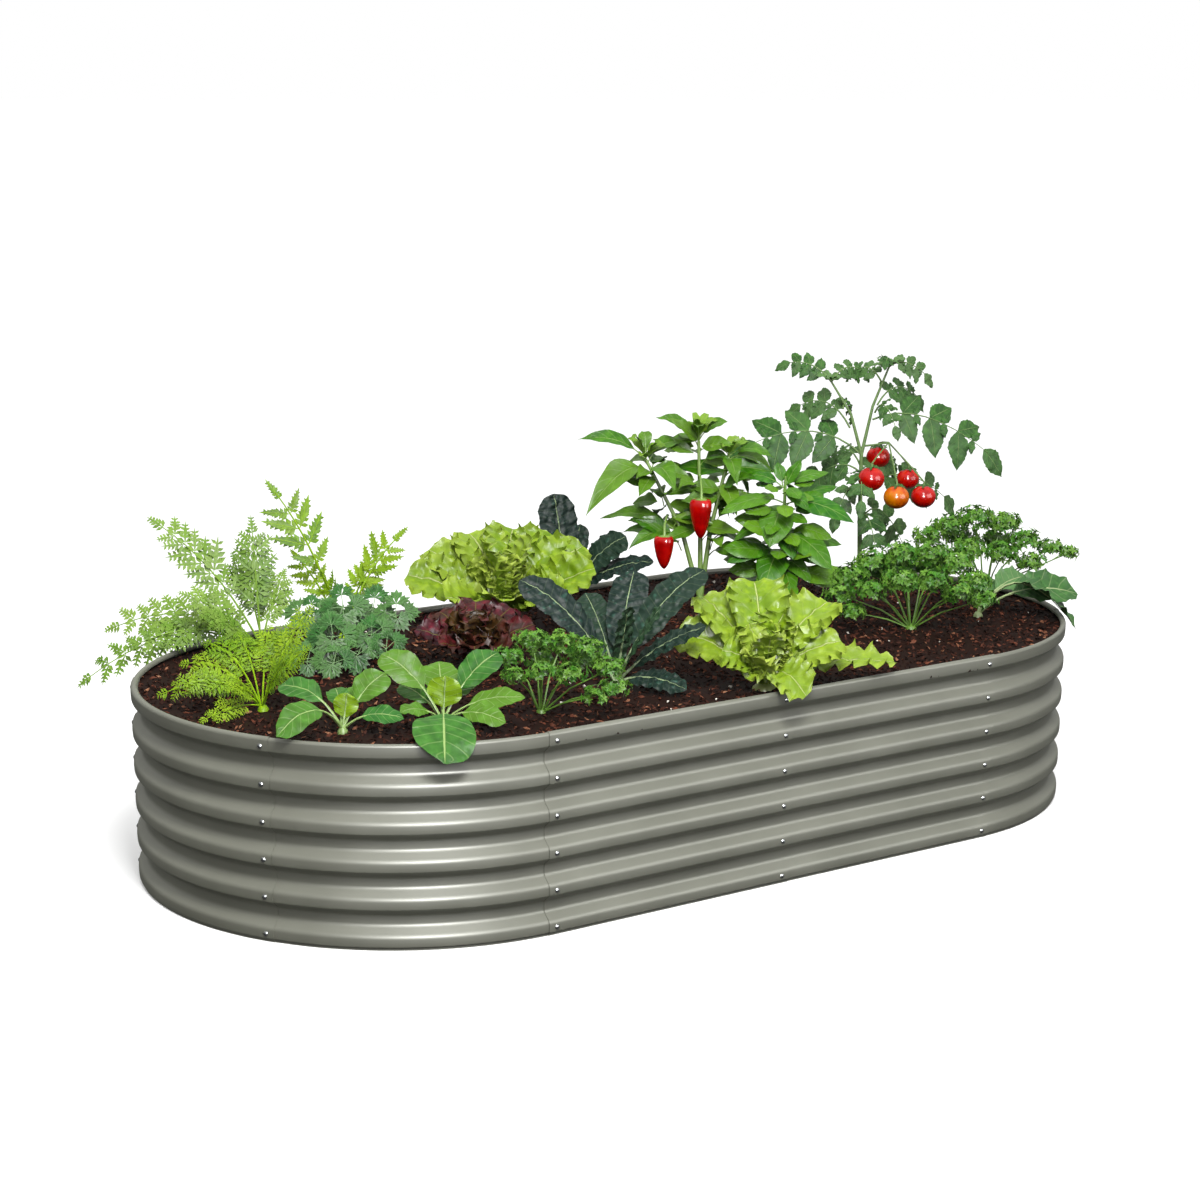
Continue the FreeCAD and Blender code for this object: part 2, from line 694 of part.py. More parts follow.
def pepper():
    # leaves as stem, place along it, tip, width and how high the blade arches
    solids = [crown(26, 12)]
    for fork in (pepper_left, pepper_middle, pepper_right):
        solids.append(rod((0, 0, 6), fork, 15, 7))
    leaves = [(pepper_left, 1.0, (-321, 0, 418), 52, 440),
              (pepper_left, 0.9, (-300, -60, 231), 80, 392),
              (pepper_left, 1.0, (-150, 40, 431), 36, 440),
              (pepper_left, 0.97, (-48, 40, 398), 46, 430),
              (pepper_left, 0.95, (-198, 70, 330), 50, 385),
              (pepper_left, 0.9, (-74, -96, 300), 60, 384),
              (pepper_left, 0.9, (-100, 120, 340), 56, 390),
              (pepper_left, 0.5, (-263, 40, 206), 46, 250),
              (pepper_left, 0.45, (-190, -40, 140), 50, 210),
              (pepper_left, 0.4, (-206, 90, 160), 50, 200),
              (pepper_middle, 1.0, (-121, 10, 473), 46, 470),
              (pepper_middle, 1.0, (63, 10, 461), 50, 466),
              (pepper_middle, 1.0, (-19, -50, 455), 36, 470),
              (pepper_middle, 0.95, (-50, 130, 400), 60, 440),
              (pepper_middle, 0.7, (79, 90, 198), 56, 320),
              (pepper_right, 1.0, (188, 20, 365), 40, 415),
              (pepper_right, 0.97, (196, 60, 316), 52, 400),
              (pepper_right, 0.95, (84, -70, 310), 48, 395),
              (pepper_right, 0.85, (128, 90, 262), 56, 356),
              (pepper_right, 0.3, (104, -70, 100), 50, 170),
              (pepper_right, 0.4, (120, 60, 120), 56, 200)]
    for fork, share, tip, width, arch in leaves:
        solids += leaf(spread((0, 0, 6), fork, share), tip, width, arch, 0.2, 4.0)
    for (right, away, up, radius, length), (fork, share) in zip(pepper_fruits, pepper_joints):
        solids.append(rod(spread((0, 0, 6), fork, share), (right, away, up + 24), 6, 5))
        solids.append(rod((right, away, up + 30), (right, away, up + seat_gap), 6, 9))
    return planted(solids, "pepper")


# fruits as across, away, height of the shoulder, radius and length in the pepper's frame,
# and the stem that each hangs from with the place along it
pepper_fruits = [(-6, -60, 272, 30, 100), (-99, -64, 178, 27, 84)]
pepper_joints = [(pepper_middle, 0.78), (pepper_left, 0.58)]


def peppers():
    solids = []
    for right, away, up, radius, length in pepper_fruits:
        outline = [(0, 0), (0.5, 0), (0.92, -0.08), (1, -0.2), (0.86, -0.5), (0.5, -0.82),
                   (0.2, -0.98), (0, -1)]
        ring = [Vector(right + radius * out, away, up + length * rise) for out, rise in outline]
        face = Part.Face(Part.makePolygon(ring + ring[:1]))
        fruit = face.revolve(Vector(right, away, 0), UP, 360)
        solids.append(set_in_bed(fruit, "pepper"))
    return Part.makeCompound(solids)


basil_top = (6, 0, 330)


def basil():
    # leaves as height on the stem, tip, width and how high the blade arches
    solids = [crown(26, 12), rod((0, 0, 2), basil_top, 14, 7)]
    leaves = [(235, (-39, -96, 163), 88, 262), (262, (-164, -60, 243), 50, 300),
              (255, (176, -70, 222), 66, 292), (172, (120, -104, 106), 78, 208),
              (125, (-51, -106, 57), 84, 160), (130, (-144, -60, 116), 56, 170),
              (200, (-125, -30, 169), 50, 240), (300, (121, 40, 333), 38, 338),
              (290, (45, 10, 369), 38, 335), (300, (-14, 20, 362), 32, 340),
              (300, (-94, 40, 326), 40, 338), (245, (149, 80, 290), 44, 295),
              (105, (70, -70, 66), 50, 136), (78, (20, -100, 40), 56, 112),
              (225, (-116, 66, 200), 50, 262), (285, (60, -64, 250), 44, 312),
              (180, (22, -84, 130), 56, 206), (140, (-40, 116, 130), 76, 180),
              (160, (90, 110, 144), 76, 202), (215, (10, 120, 226), 70, 262),
              (150, (156, 10, 150), 60, 196), (110, (10, 124, 92), 76, 150)]
    for height, tip, width, arch in leaves:
        solids += leaf(spread((0, 0, 0), basil_top, height / basil_top[2]), tip, width, arch,
                       0.2, 4.0)
    return planted(solids, "basil")


tomato_fork = (-8, 0, 350)
tomato_left = (-92, 10, 540)
tomato_right = (58, 10, 580)
truss = (60, -20, 385)


def tomato():
    solids = [crown(22, 12), rod((0, 0, 3), tomato_fork, 13, 10)]
    solids.append(rod(tomato_fork, tomato_left, 9, 6))
    solids.append(rod(tomato_fork, tomato_right, 9, 6))
    solids.append(rod(spread(tomato_fork, tomato_right, 0.1), truss, 6, 5))
    leaves = [(tomato_left, (-204, 30, 588), 110, 600), (tomato_left, (-2, 60, 560), 90, 600),
              (tomato_right, (158, 30, 556), 100, 610), (tomato_right, (40, -60, 602), 56, 620),
              (spread(tomato_fork, tomato_right, 0.4), (330, 20, 352), 150, 500),
              (tomato_fork, (-300, -10, 380), 150, 460),
              (spread((0, 0, 2), tomato_fork, 0.7), (246, 130, 210), 120, 350),
              (spread((0, 0, 2), tomato_fork, 0.5), (124, 60, 92), 110, 260),
              (spread((0, 0, 2), tomato_fork, 0.5), (30, -100, 92), 96, 240),
              (spread((0, 0, 2), tomato_fork, 0.7), (-78, -60, 190), 110, 320),
              (spread((0, 0, 2), tomato_fork, 0.9), (-84, 116, 312), 92, 400)]
    for start, tip, width, arch in leaves:
        solids += frond(start, tip, width, arch, 3, 0.25, 5.0)
    for fruit in red_tomatoes + orange_tomatoes:
        solids += fruit_stalk(fruit)
    return planted(solids, "tomato")


# fruits as across, away, up and radius in the tomato's own frame
red_tomatoes = [(12, -64, 296, 35), (44, 52, 336, 32), (154, -44, 246, 33), (118, 2, 286, 30)]
orange_tomatoes = [(76, -90, 252, 34)]
fruit_top = 59.0           # degrees of latitude where the fruit is flat under its stalk
fruit_bottom = 72.0


def fruit_stalk(fruit):
    # from the truss to a short upright stub on the flat top of the fruit
    right, away, up, radius = fruit
    top = up + radius * math.sin(math.radians(fruit_top)) + seat_gap
    return [rod(truss, (right, away, top + 8), 5, 5),
            rod((right, away, top + 11), (right, away, top), 5, 8)]


def tomato_fruits(fruits):
    solids = []
    for right, away, up, radius in fruits:
        ball = Part.makeSphere(radius, Vector(right, away, up), UP, -fruit_bottom, fruit_top)
        solids.append(set_in_bed(ball, "tomato"))
    return Part.makeCompound(solids)


# --- build everything -----------------------------------------------------------------
def build_bed(parts):
    holes = bolt_holes()
    bolt_shape = bolt()
    washer_shape = washer()
    for end, word in ((-1, "left"), (1, "right")):
        for position, place in enumerate(("front", "middle", "back")):
            set_in = 0 if place == "middle" else nest_step
            name = "panel_" + word + "_" + place
            parts[name] = bore(curved_panel(end, position, set_in), holes)
    for side, word in ((-1, "front"), (1, "back")):
        over = 0 if side < 0 else panels_per_side - 1
        for position, place in enumerate(("left", "right")):
            if position == over:
                ends = (0, 0)
            else:
                ends = (nest_step, 0) if side < 0 else (0, nest_step)
            name = "panel_" + word + "_straight_" + place
            parts[name] = bore(straight_panel(side, position, *ends), holes)
    places = bolt_places()
    nuts = {True: nut(True), False: nut(False)}
    parts["bolts"] = Part.makeCompound([facing(bolt_shape, *place) for place in places])
    parts["washers"] = Part.makeCompound([facing(washer_shape, *place) for place in places])
    parts["nuts"] = Part.makeCompound(
        [facing(nuts[is_tie_place(point)], point, outward) for point, outward in places])
    parts["tie_rod"] = tie_rod()
    parts["soil"] = soil()


def build_plants(parts):
    makers = [spinach_small, spinach_large, kale_front, kale_back, lettuce_red,
              lettuce_green_back, lettuce_green_front, chard, carrot_front, carrot_tall,
              chervil, cilantro, parsley_front, parsley_middle, parsley_back, pepper, basil,
              tomato]
    for maker in makers:
        parts["plant_" + maker.__name__] = maker()
    parts["peppers"] = peppers()
    parts["tomatoes_red"] = tomato_fruits(red_tomatoes)
    parts["tomato_orange"] = tomato_fruits(orange_tomatoes)


parts = {}
build_bed(parts)
build_plants(parts)
os.makedirs("parts", exist_ok=True)
for name, shape in parts.items():
    print(name, len(shape.Solids), round(shape.Volume), shape.isValid())
    shape.exportStep("parts/" + name + ".step")
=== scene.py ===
import math
import random

import bmesh
import bpy
from mathutils import Matrix, Vector, noise


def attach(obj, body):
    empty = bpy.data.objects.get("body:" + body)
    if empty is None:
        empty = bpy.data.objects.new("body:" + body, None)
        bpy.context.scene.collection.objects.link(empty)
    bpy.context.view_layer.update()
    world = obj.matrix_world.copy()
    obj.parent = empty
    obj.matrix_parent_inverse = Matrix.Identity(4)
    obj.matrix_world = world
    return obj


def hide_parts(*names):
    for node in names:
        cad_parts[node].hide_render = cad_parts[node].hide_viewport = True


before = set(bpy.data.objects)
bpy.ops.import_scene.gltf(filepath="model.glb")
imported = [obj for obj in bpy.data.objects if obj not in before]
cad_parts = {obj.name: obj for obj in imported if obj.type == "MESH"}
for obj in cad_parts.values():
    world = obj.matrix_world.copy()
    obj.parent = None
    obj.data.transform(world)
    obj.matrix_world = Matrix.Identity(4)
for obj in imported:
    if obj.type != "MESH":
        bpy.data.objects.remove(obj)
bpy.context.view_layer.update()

bpy.ops.object.select_all(action="DESELECT")

# Oval corrugated garden bed with its planting. Sizes are millimetres until a mesh is
# finished, then everything is in metres.
mm = 0.001


# the ways of working that all pieces share
def hexColour(code):
    # sRGB hex to the linear colour that the shaders take
    channels = [int(code[at:at + 2], 16) / 255 for at in (1, 3, 5)]
    linear = [c / 12.92 if c < 0.04045 else ((c + 0.055) / 1.055) ** 2.4 for c in channels]
    return (*linear, 1.0)


def addNode(tree, kind, settings={}, links={}):
    node = tree.nodes.new("ShaderNode" + kind)
    for name, value in settings.items():
        if name == "stops":
            ramp = node.color_ramp
            while len(ramp.elements) < len(value):
                ramp.elements.new(1.0)
            for element, (place, colour) in zip(ramp.elements, value):
                element.position = place
                element.color = hexColour(colour)
        elif isinstance(name, int) or name in node.inputs:
            node.inputs[name].default_value = value
        else:
            setattr(node, name, value)
    for name, source in links.items():
        tree.links.new(source, node.inputs[name])
    return node


def newMaterial(name):
    material = bpy.data.materials.new(name)
    material.use_nodes = True
    material.node_tree.nodes.clear()
    return material, material.node_tree


def meshObject(name, bm):
    # hands a finished bmesh over to an object of its own
    data = bpy.data.meshes.new(name)
    bm.to_mesh(data)
    bm.free()
    piece = bpy.data.objects.new(name, data)
    bpy.context.scene.collection.objects.link(piece)
    return piece


def takeUp(piece):
    # makes a piece the one that the operators work on
    bpy.ops.object.select_all(action="DESELECT")
    piece.select_set(True)
    bpy.context.view_layer.objects.active = piece


def applyModifier(piece, kind, **settings):
    takeUp(piece)
    modifier = piece.modifiers.new(kind.title(), kind)
    for name, value in settings.items():
        setattr(modifier, name, value)
    bpy.ops.object.modifier_apply(modifier=modifier.name)


def smooth(piece, degrees):
    takeUp(piece)
    bpy.ops.object.shade_smooth_by_angle(angle=math.radians(degrees))


def curveValue(points, at):
    # smooth value at a place on a curve that is given as (place, value) pairs
    last = len(points) - 1
    step = max(i for i in range(last) if i == 0 or points[i][0] <= at)
    (x1, y1), (x2, y2) = points[step], points[step + 1]
    y0 = points[max(step - 1, 0)][1]
    y3 = points[min(step + 2, last)][1]
    t = min(max((at - x1) / (x2 - x1), 0.0), 1.0)
    bend = (2 * y0 - 5 * y1 + 4 * y2 - y3) * t * t + (3 * y1 - y0 - 3 * y2 + y3) * t ** 3
    return max(0.5 * (2 * y1 + (y2 - y0) * t + bend), 0.0)


# painted sheet steel: hot dip zinc under a satin olive grey polyester coat, so it is dark in
# the valleys and catches broad soft highlights, with a faint orange peel from the roller
def paintedSheetSteel():
    paint = {
        "deep": "#68695D",
        "light": "#717266",
        "peelMm": 2.4,
        "flowMm": 160.0,
    }
    material, tree = newMaterial("painted sheet steel")
    place = addNode(tree, "TexCoord").outputs["Object"]
    flow = addNode(tree, "TexNoise", {"Scale": 1 / (paint["flowMm"] * mm), "Detail": 3.0},
                   {"Vector": place})
    colour = addNode(tree, "ValToRGB", {"stops": [(0.3, paint["deep"]), (0.7, paint["light"])]},
                     {"Fac": flow.outputs["Fac"]})
    peel = addNode(tree, "TexNoise", {"Scale": 1 / (paint["peelMm"] * mm), "Detail": 2.0},
                   {"Vector": place})
    rough = addNode(tree, "MapRange", {"To Min": 0.42, "To Max": 0.5},
                    {"Value": flow.outputs["Fac"]})
    bump = addNode(tree, "Bump", {"Strength": 0.06, "Distance": 0.0004},
                   {"Height": peel.outputs["Fac"]})
    shader = addNode(tree, "BsdfPrincipled", {"IOR": 1.5, "Metallic": 0.1},
                     {"Base Color": colour.outputs["Color"], "Roughness": rough.outputs[0],
                      "Normal": bump.outputs["Normal"]})
    addNode(tree, "OutputMaterial", links={"Surface": shader.outputs[0]})
    return material


# zinc plated steel: bright and slightly mottled, dulled in patches by the plating bath
def zincPlatedSteel():
    material, tree = newMaterial("zinc plated steel")
    place = addNode(tree, "TexCoord").outputs["Object"]
    mottle = addNode(tree, "TexNoise", {"Scale": 1 / (1.6 * mm), "Detail": 3.0},
                     {"Vector": place})
    colour = addNode(tree, "ValToRGB", {"stops": [(0.35, "#6A6C6C"), (0.65, "#8E9090")]},
                     {"Fac": mottle.outputs["Fac"]})
    rough = addNode(tree, "MapRange", {"To Min": 0.2, "To Max": 0.36},
                    {"Value": mottle.outputs["Fac"]})
    shader = addNode(tree, "BsdfPrincipled", {"Metallic": 1.0},
                     {"Base Color": colour.outputs["Color"], "Roughness": rough.outputs[0]})
    addNode(tree, "OutputMaterial", links={"Surface": shader.outputs[0]})
    return material


# the rolled sheet, the same section as the CAD's
bed = {
    "radius": 609.6,
    "straight": 1219.2,
    "sheet": 0.8,
    "ribs": 6,
    "pitch": 81.0,
    "depth": 20.8,
    "firstCrease": 7.5,
    "crestCentre": 10.5,
    "crestWidth": 23.5,
    "slopeRise": 18.0,
    "flankDrop": 15.5,
    "bulge": 0.8,
    "skirtInset": 5.0,
    "rimRise": 30.2,
    "rimBend": 8.2,
    "rimFlat": 0.4,
    "rimLip": 2.0,
    "lapHalf": 19.0,
    "nestStep": 1.6,
}
bed["rimTop"] = bed["firstCrease"] + (bed["ribs"] - 1) * bed["pitch"] + bed["rimRise"]
soilTop = bed["rimTop"] - 17.7


def sheetSection(setIn):
    # points of the outer face from the ground to the end of the roll, as inset and height
    crease = bed["firstCrease"]
    lean = bed["flankDrop"] / (bed["depth"] - bed["bulge"])
    corners = [(bed["skirtInset"], 0, 0),
               (bed["skirtInset"], crease - (bed["skirtInset"] - bed["bulge"]) * lean, 2)]
    for rib in range(bed["ribs"]):
        foot = crease + rib * bed["pitch"]
        corners += [(bed["bulge"], foot, 3), (0, foot + bed["crestCentre"], 80)]
        if rib < bed["ribs"] - 1:
            corners += [(bed["bulge"], foot + bed["crestWidth"], 14),
                        (bed["depth"], foot + bed["crestWidth"] + bed["slopeRise"], 12),
                        (bed["depth"], foot + bed["pitch"] - bed["flankDrop"], 10)]
    top = bed["rimTop"] - setIn
    bend = bed["rimBend"] - setIn
    roll = 2 * bend + bed["rimFlat"]
    corners += [(0, top, bend), (roll, top, bend), (roll, top - bend - bed["rimLip"], 0)]
    section = [corners[0][:2]]
    for before, corner, after in zip(corners, corners[1:], corners[2:]):
        at = Vector(corner[:2])
        arriving = (at - Vector(before[:2])).normalized()
        leaving = (Vector(after[:2]) - at).normalized()
        turn = arriving.angle_signed(leaving)
        reach = corner[2] * math.tan(abs(turn) / 2)
        steps = max(2, round(math.degrees(abs(turn)) / 9))
        start = at - arriving * reach
        centre = start + Vector((arriving.y, -arriving.x)) * corner[2] * (1 if turn > 0 else -1)
        for step in range(steps + 1):
            swing = Matrix.Rotation(-turn * step / steps, 2)
            point = centre + swing @ (start - centre)
            section.append((point.x, point.y))
    return section + [corners[-1][:2]]


def sectionLoop(mesh, setIn, outward, foot):
    # draws the section standing on a point, facing outward
    rows = []
    for inset, height in sheetSection(setIn):
        rows.append(mesh.verts.new((foot - outward * (inset + setIn)) + Vector((0, 0, height))))
    return [mesh.edges.new(pair) for pair in zip(rows, rows[1:])]


def drawnSheet(name, bm):
    bmesh.ops.scale(bm, vec=(mm, mm, mm), verts=bm.verts)
    return meshObject(name, bm)


def closePanel(piece, node):
    # the sheet gets its thickness inward, then is shaded with its cut edges sharp
    takeUp(piece)
    bpy.ops.object.mode_set(mode="EDIT")
    bpy.ops.mesh.select_all(action="SELECT")
    bpy.ops.mesh.remove_doubles(threshold=0.00001)
    bpy.ops.mesh.normals_make_consistent(inside=False)
    bpy.ops.object.mode_set(mode="OBJECT")
    half = bed["straight"] / 2 * mm
    middle = Vector((max(-half, min(half, piece.data.vertices[0].co.x)), 0, 0))
    face = max(piece.data.polygons, key=lambda f: (f.center - middle).xy.length)
    if face.normal.dot((face.center - middle) * Vector((1, 1, 0))) < 0:
        piece.data.flip_normals()
    applyModifier(piece, "SOLIDIFY", thickness=bed["sheet"] * mm, offset=-1.0,
                  use_even_offset=True)
    smooth(piece, 50)
    piece.data.materials.append(steelPaint)
    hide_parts(node)
    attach(piece, "root")


def curvedPanel(end, position, word, place):
    # one section drawn at the start of the arc, then spun round the end's centre
    setIn = 0 if place == "middle" else bed["nestStep"]
    lap = math.degrees(bed["lapHalf"] / bed["radius"])
    start = math.radians(-90 + position * 60 - lap)
    sweep = math.radians(60 + 2 * lap)
    centre = Vector((end * bed["straight"] / 2, 0, 0))
    outward = Vector((end * math.cos(start), math.sin(start), 0))
    bm = bmesh.new()
    sectionLoop(bm, setIn, outward, centre + outward * bed["radius"])
    node = "panel_" + word + "_" + place
    piece = drawnSheet("sheet_" + word + "_" + place, bm)
    takeUp(piece)
    bpy.ops.object.mode_set(mode="EDIT")
    bpy.ops.mesh.select_all(action="SELECT")
    bpy.ops.mesh.spin(steps=44, angle=-sweep * end, center=centre * mm, axis=(0, 0, 1))
    bpy.ops.object.mode_set(mode="OBJECT")
    closePanel(piece, node)


def straightPanel(side, position, word, place, near, far):
    # two sections at the ends of the sheet, bridged
    half = bed["straight"] / 2
    low = -half + position * half - bed["lapHalf"]
    outward = Vector((0, side, 0))
    bm = bmesh.new()
    sectionLoop(bm, near, outward, Vector((low, side * bed["radius"], 0)))
    sectionLoop(bm, far, outward, Vector((low + half + 2 * bed["lapHalf"],
                                          side * bed["radius"], 0)))
    node = "panel_" + word + "_straight_" + place
    piece = drawnSheet("sheet_" + word + "_straight_" + place, bm)
    takeUp(piece)
    bpy.ops.object.mode_set(mode="EDIT")
    bpy.ops.mesh.select_all(action="SELECT")
    bpy.ops.mesh.bridge_edge_loops(number_cuts=7)
    bpy.ops.object.mode_set(mode="OBJECT")
    closePanel(piece, node)


steelPaint = paintedSheetSteel()
for end, word in ((-1, "left"), (1, "right")):
    for position, place in enumerate(("front", "middle", "back")):
        curvedPanel(end, position, word, place)
step = bed["nestStep"]
straightPanel(-1, 0, "front", "left", 0, 0)
straightPanel(-1, 1, "front", "right", step, 0)
straightPanel(1, 0, "back", "left", 0, step)
straightPanel(1, 1, "back", "right", 0, 0)

zincPlate = zincPlatedSteel()
for node in ("bolts", "washers", "nuts", "tie_rod"):
    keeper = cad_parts[node]
    if not keeper.material_slots:
        keeper.data.materials.append(zincPlate)
    for slot in keeper.material_slots:
        slot.material = zincPlate
print("sheets and fasteners done")


# bark compost: wet milled bark, nearly black brown, with red brown slivers, a few pale
# splinters and grains of white perlite
def barkCompost(name):
    material, tree = newMaterial(name)
    place = addNode(tree, "TexCoord").outputs["Object"]
    shade = addNode(tree, "Attribute", {"attribute_name": "shade"})
    grain = addNode(tree, "TexNoise", {"Scale": 1 / (3.0 * mm), "Detail": 4.0},
                    {"Vector": place})
    mixed = addNode(tree, "Math", {"operation": "MULTIPLY_ADD", 1: 0.16, 2: -0.08},
                    {0: grain.outputs["Fac"]})
    total = addNode(tree, "Math", {"operation": "ADD"},
                    {0: shade.outputs["Fac"], 1: mixed.outputs[0]})
    colour = addNode(tree, "ValToRGB", {"stops": [
        (0.0, "#0F0806"), (0.45, "#24130D"), (0.72, "#42241A"), (0.86, "#6B3D2C"),
        (0.94, "#9A6E52"), (1.0, "#E6E0D4")]}, {"Fac": total.outputs[0]})
    bump = addNode(tree, "Bump", {"Strength": 0.5, "Distance": 0.001},
                   {"Height": grain.outputs["Fac"]})
    shader = addNode(tree, "BsdfPrincipled", {"Roughness": 0.7, "IOR": 1.45,
                                              "Specular IOR Level": 0.06},
                     {"Base Color": colour.outputs["Color"], "Normal": bump.outputs["Normal"]})
    addNode(tree, "OutputMaterial", links={"Surface": shader.outputs[0]})
    return material


# where each plant stands
plantRoots = {
    "spinach_small": (-952.6, -322.6), "spinach_large": (-750.6, -390.6),
    "kale_front": (-250.6, -316.6), "kale_back": (201.4, 525.6),
    "lettuce_red": (-390.6, 48), "lettuce_green_back": (-103.6, 360),
    "lettuce_green_front": (12.4, -513.6), "chard": (939.6, -224.6),
    "carrot_front": (-998.6, -59), "carrot_tall": (-512.6, 448.6),
    "chervil": (-750.6, 415.6), "coriander": (-673.6, 203),
    "parsley_front": (-514.6, -408.6), "parsley_middle": (707.6, -230.6),
    "parsley_back": (1105.6, -77), "pepper_plant": (492.4, 339),
    "basil": (639.6, 193), "tomato_plant": (966.6, 255),
}
plantTurn = -34.0  # degrees that set a plant's own front towards the photograph's camera
compost = {
    "wallGap": 6.0,        # from the sheet to the compost at its surface
    "cellMm": 16.0,
    "reliefMm": 3.6,
    "chips": 15000,
    "seed": 11,
    "hollowPitch": 125.0,  # shallow hollows where the compost has settled between the plants
    "hollowRadius": 60.0,
    "hollowDepth": 6.0,
    "hollowDrift": 16.0,
    "hollowSlope": 30.0,
    "hollowMargin": 45.0,  # level compost left beside the sheet
    "levelRoundPlant": 42.0,
}


def insideOval(x, y, margin):
    along = max(abs(x) - bed["straight"] / 2, 0.0)
    return math.hypot(along, y) < bed["radius"] - margin


def compostHollows():
    centres = []
    pitch, drift = compost["hollowPitch"], compost["hollowDrift"]
    for column in range(-10, 11):
        for row in range(-5, 6):
            x = (column + 0.5 * (row % 2)) * pitch + drift * math.sin(2.3 * column + 4.1 * row)
            y = row * pitch + drift * math.cos(3.7 * column - 1.9 * row)
            near = min(math.hypot(x - px, y - py) for px, py in plantRoots.values())
            clear = near > compost["levelRoundPlant"] + compost["hollowRadius"]
            if clear and insideOval(x, y, compost["hollowMargin"] + compost["hollowRadius"]):
                centres.append((x, y))
    return centres


hollows = compostHollows()


def surfaceRise(x, y):
    # lumps of compost, and the hollows that it has settled into
    rise = noise.noise(Vector((x / 60, y / 60, 3.0))) * 0.55
    rise += noise.noise(Vector((x / 17, y / 17, 7.0))) * 0.55
    rise *= compost["reliefMm"]
    away = min(math.hypot(x - cx, y - cy) for cx, cy in hollows)
    share = min(max((compost["hollowRadius"] - away) / compost["hollowSlope"], 0.0), 1.0)
    return rise - compost["hollowDepth"] * share


def compostBody():
    # oval ring extruded up, capped by a grid that carries the relief
    half = bed["straight"] / 2
    depth = bed["depth"] + 5.0
    ring = []
    for step in range(120):
        angle = 2 * math.pi * step / 120
        x = math.copysign(half, math.cos(angle)) if abs(math.cos(angle)) > 1e-6 else half
        ring.append((x + (bed["radius"] - depth) * math.cos(angle),
                     (bed["radius"] - depth) * math.sin(angle)))
    bm = bmesh.new()
    low = [bm.verts.new((x, y, 1.0)) for x, y in ring]
    floorFace = bm.faces.new(low)
    grown = bmesh.ops.extrude_face_region(bm, geom=[floorFace])
    for vert in [v for v in grown["geom"] if isinstance(v, bmesh.types.BMVert)]:
        vert.co.z = soilTop - 12.0
    bmesh.ops.scale(bm, vec=(mm, mm, mm), verts=bm.verts)
    bmesh.ops.recalc_face_normals(bm, faces=bm.faces)
    shade = bm.verts.layers.float.new("shade")
    for vert in bm.verts:
        vert[shade] = 0.3
    return meshObject("compost_body", bm)


def compostTop():
    # a plate that is rough on top, cut to the oval
    half = bed["straight"] / 2
    reach = bed["radius"] - compost["wallGap"]
    bm = bmesh.new()
    shade = bm.verts.layers.float.new("shade")
    rows = int(2 * reach / compost["cellMm"])
    columns = int(2 * (half + reach) / compost["cellMm"])
    grid = {}
    for row in range(rows + 1):
        y = -reach + 2 * reach * row / rows
        span = half + math.sqrt(max(reach * reach - y * y, 0.0)) + 0.5
        for column in range(columns + 1):
            x = -span + 2 * span * column / columns
            z = soilTop + 1.0 + surfaceRise(x, y)
            grid[row, column] = bm.verts.new((x, y, z))
            grid[row, column][shade] = 0.3 + 0.22 * noise.noise(Vector((x / 9, y / 9, 1.0)))
    for row in range(rows):
        for column in range(columns):
            bm.faces.new([grid[row, column], grid[row, column + 1],
                          grid[row + 1, column + 1], grid[row + 1, column]])
    bmesh.ops.remove_doubles(bm, verts=bm.verts, dist=0.05)
    bmesh.ops.scale(bm, vec=(mm, mm, mm), verts=bm.verts)
    piece = meshObject("compost_top", bm)
    applyModifier(piece, "SOLIDIFY", thickness=0.014, offset=-1.0)
    smooth(piece, 40)
    return piece


def barkChips():
    # slivers of bark lying every way on the surface
    rng = random.Random(compost["seed"])
    bm = bmesh.new()
    shade = bm.verts.layers.float.new("shade")
    half = bed["straight"] / 2
    count = 0
    while count < compost["chips"]:
        x = rng.uniform(-half - bed["radius"], half + bed["radius"])
        y = rng.uniform(-bed["radius"], bed["radius"])
        if not insideOval(x, y, 14.0):
            continue
        count += 1
        kind = rng.random()
        size = rng.uniform(4, 11)
        long, wide, thick = size, size * rng.uniform(0.3, 0.6), size * rng.uniform(0.15, 0.35)
        tone = rng.uniform(0.15, 0.8) if kind < 0.86 else rng.uniform(0.78, 0.93)
        if kind > 0.997:
            long, wide, thick, tone = size * 0.5, size * 0.45, size * 0.4, 1.05
        centre = Vector((x, y, soilTop + 2.0 + surfaceRise(x, y)))
        turn = Matrix.Rotation(rng.uniform(0, 6.28), 3, "Z")
        turn = turn @ Matrix.Rotation(rng.gauss(0, 0.45), 3, "Y")
        turn = turn @ Matrix.Rotation(rng.gauss(0, 0.6), 3, "X")
        ends = [(-long, 0, 0), (long, wide * 0.3, 0)]
        ring = [(long * 0.2, wide, thick * 0.4), (-long * 0.1, wide * 0.2, thick * 1.3),
                (long * 0.1, -wide, thick * 0.2), (0, -wide * 0.1, -thick)]
        points = [bm.verts.new(centre + turn @ (Vector(p) * rng.uniform(0.85, 1.1)))
                  for p in ends + ring]
        for point in points:
            point[shade] = tone
        for at in range(4):
            after = (at + 1) % 4
            bm.faces.new((points[0], points[2 + after], points[2 + at]))
            bm.faces.new((points[1], points[2 + at], points[2 + after]))
    bmesh.ops.recalc_face_normals(bm, faces=bm.faces)
    bmesh.ops.scale(bm, vec=(mm, mm, mm), verts=bm.verts)
    return meshObject("bark_chips", bm)


bark = barkCompost("bark compost")
for piece in (compostBody(), compostTop(), barkChips()):
    piece.data.materials.append(bark)
    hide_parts("soil")
    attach(piece, "root")
print("compost done")


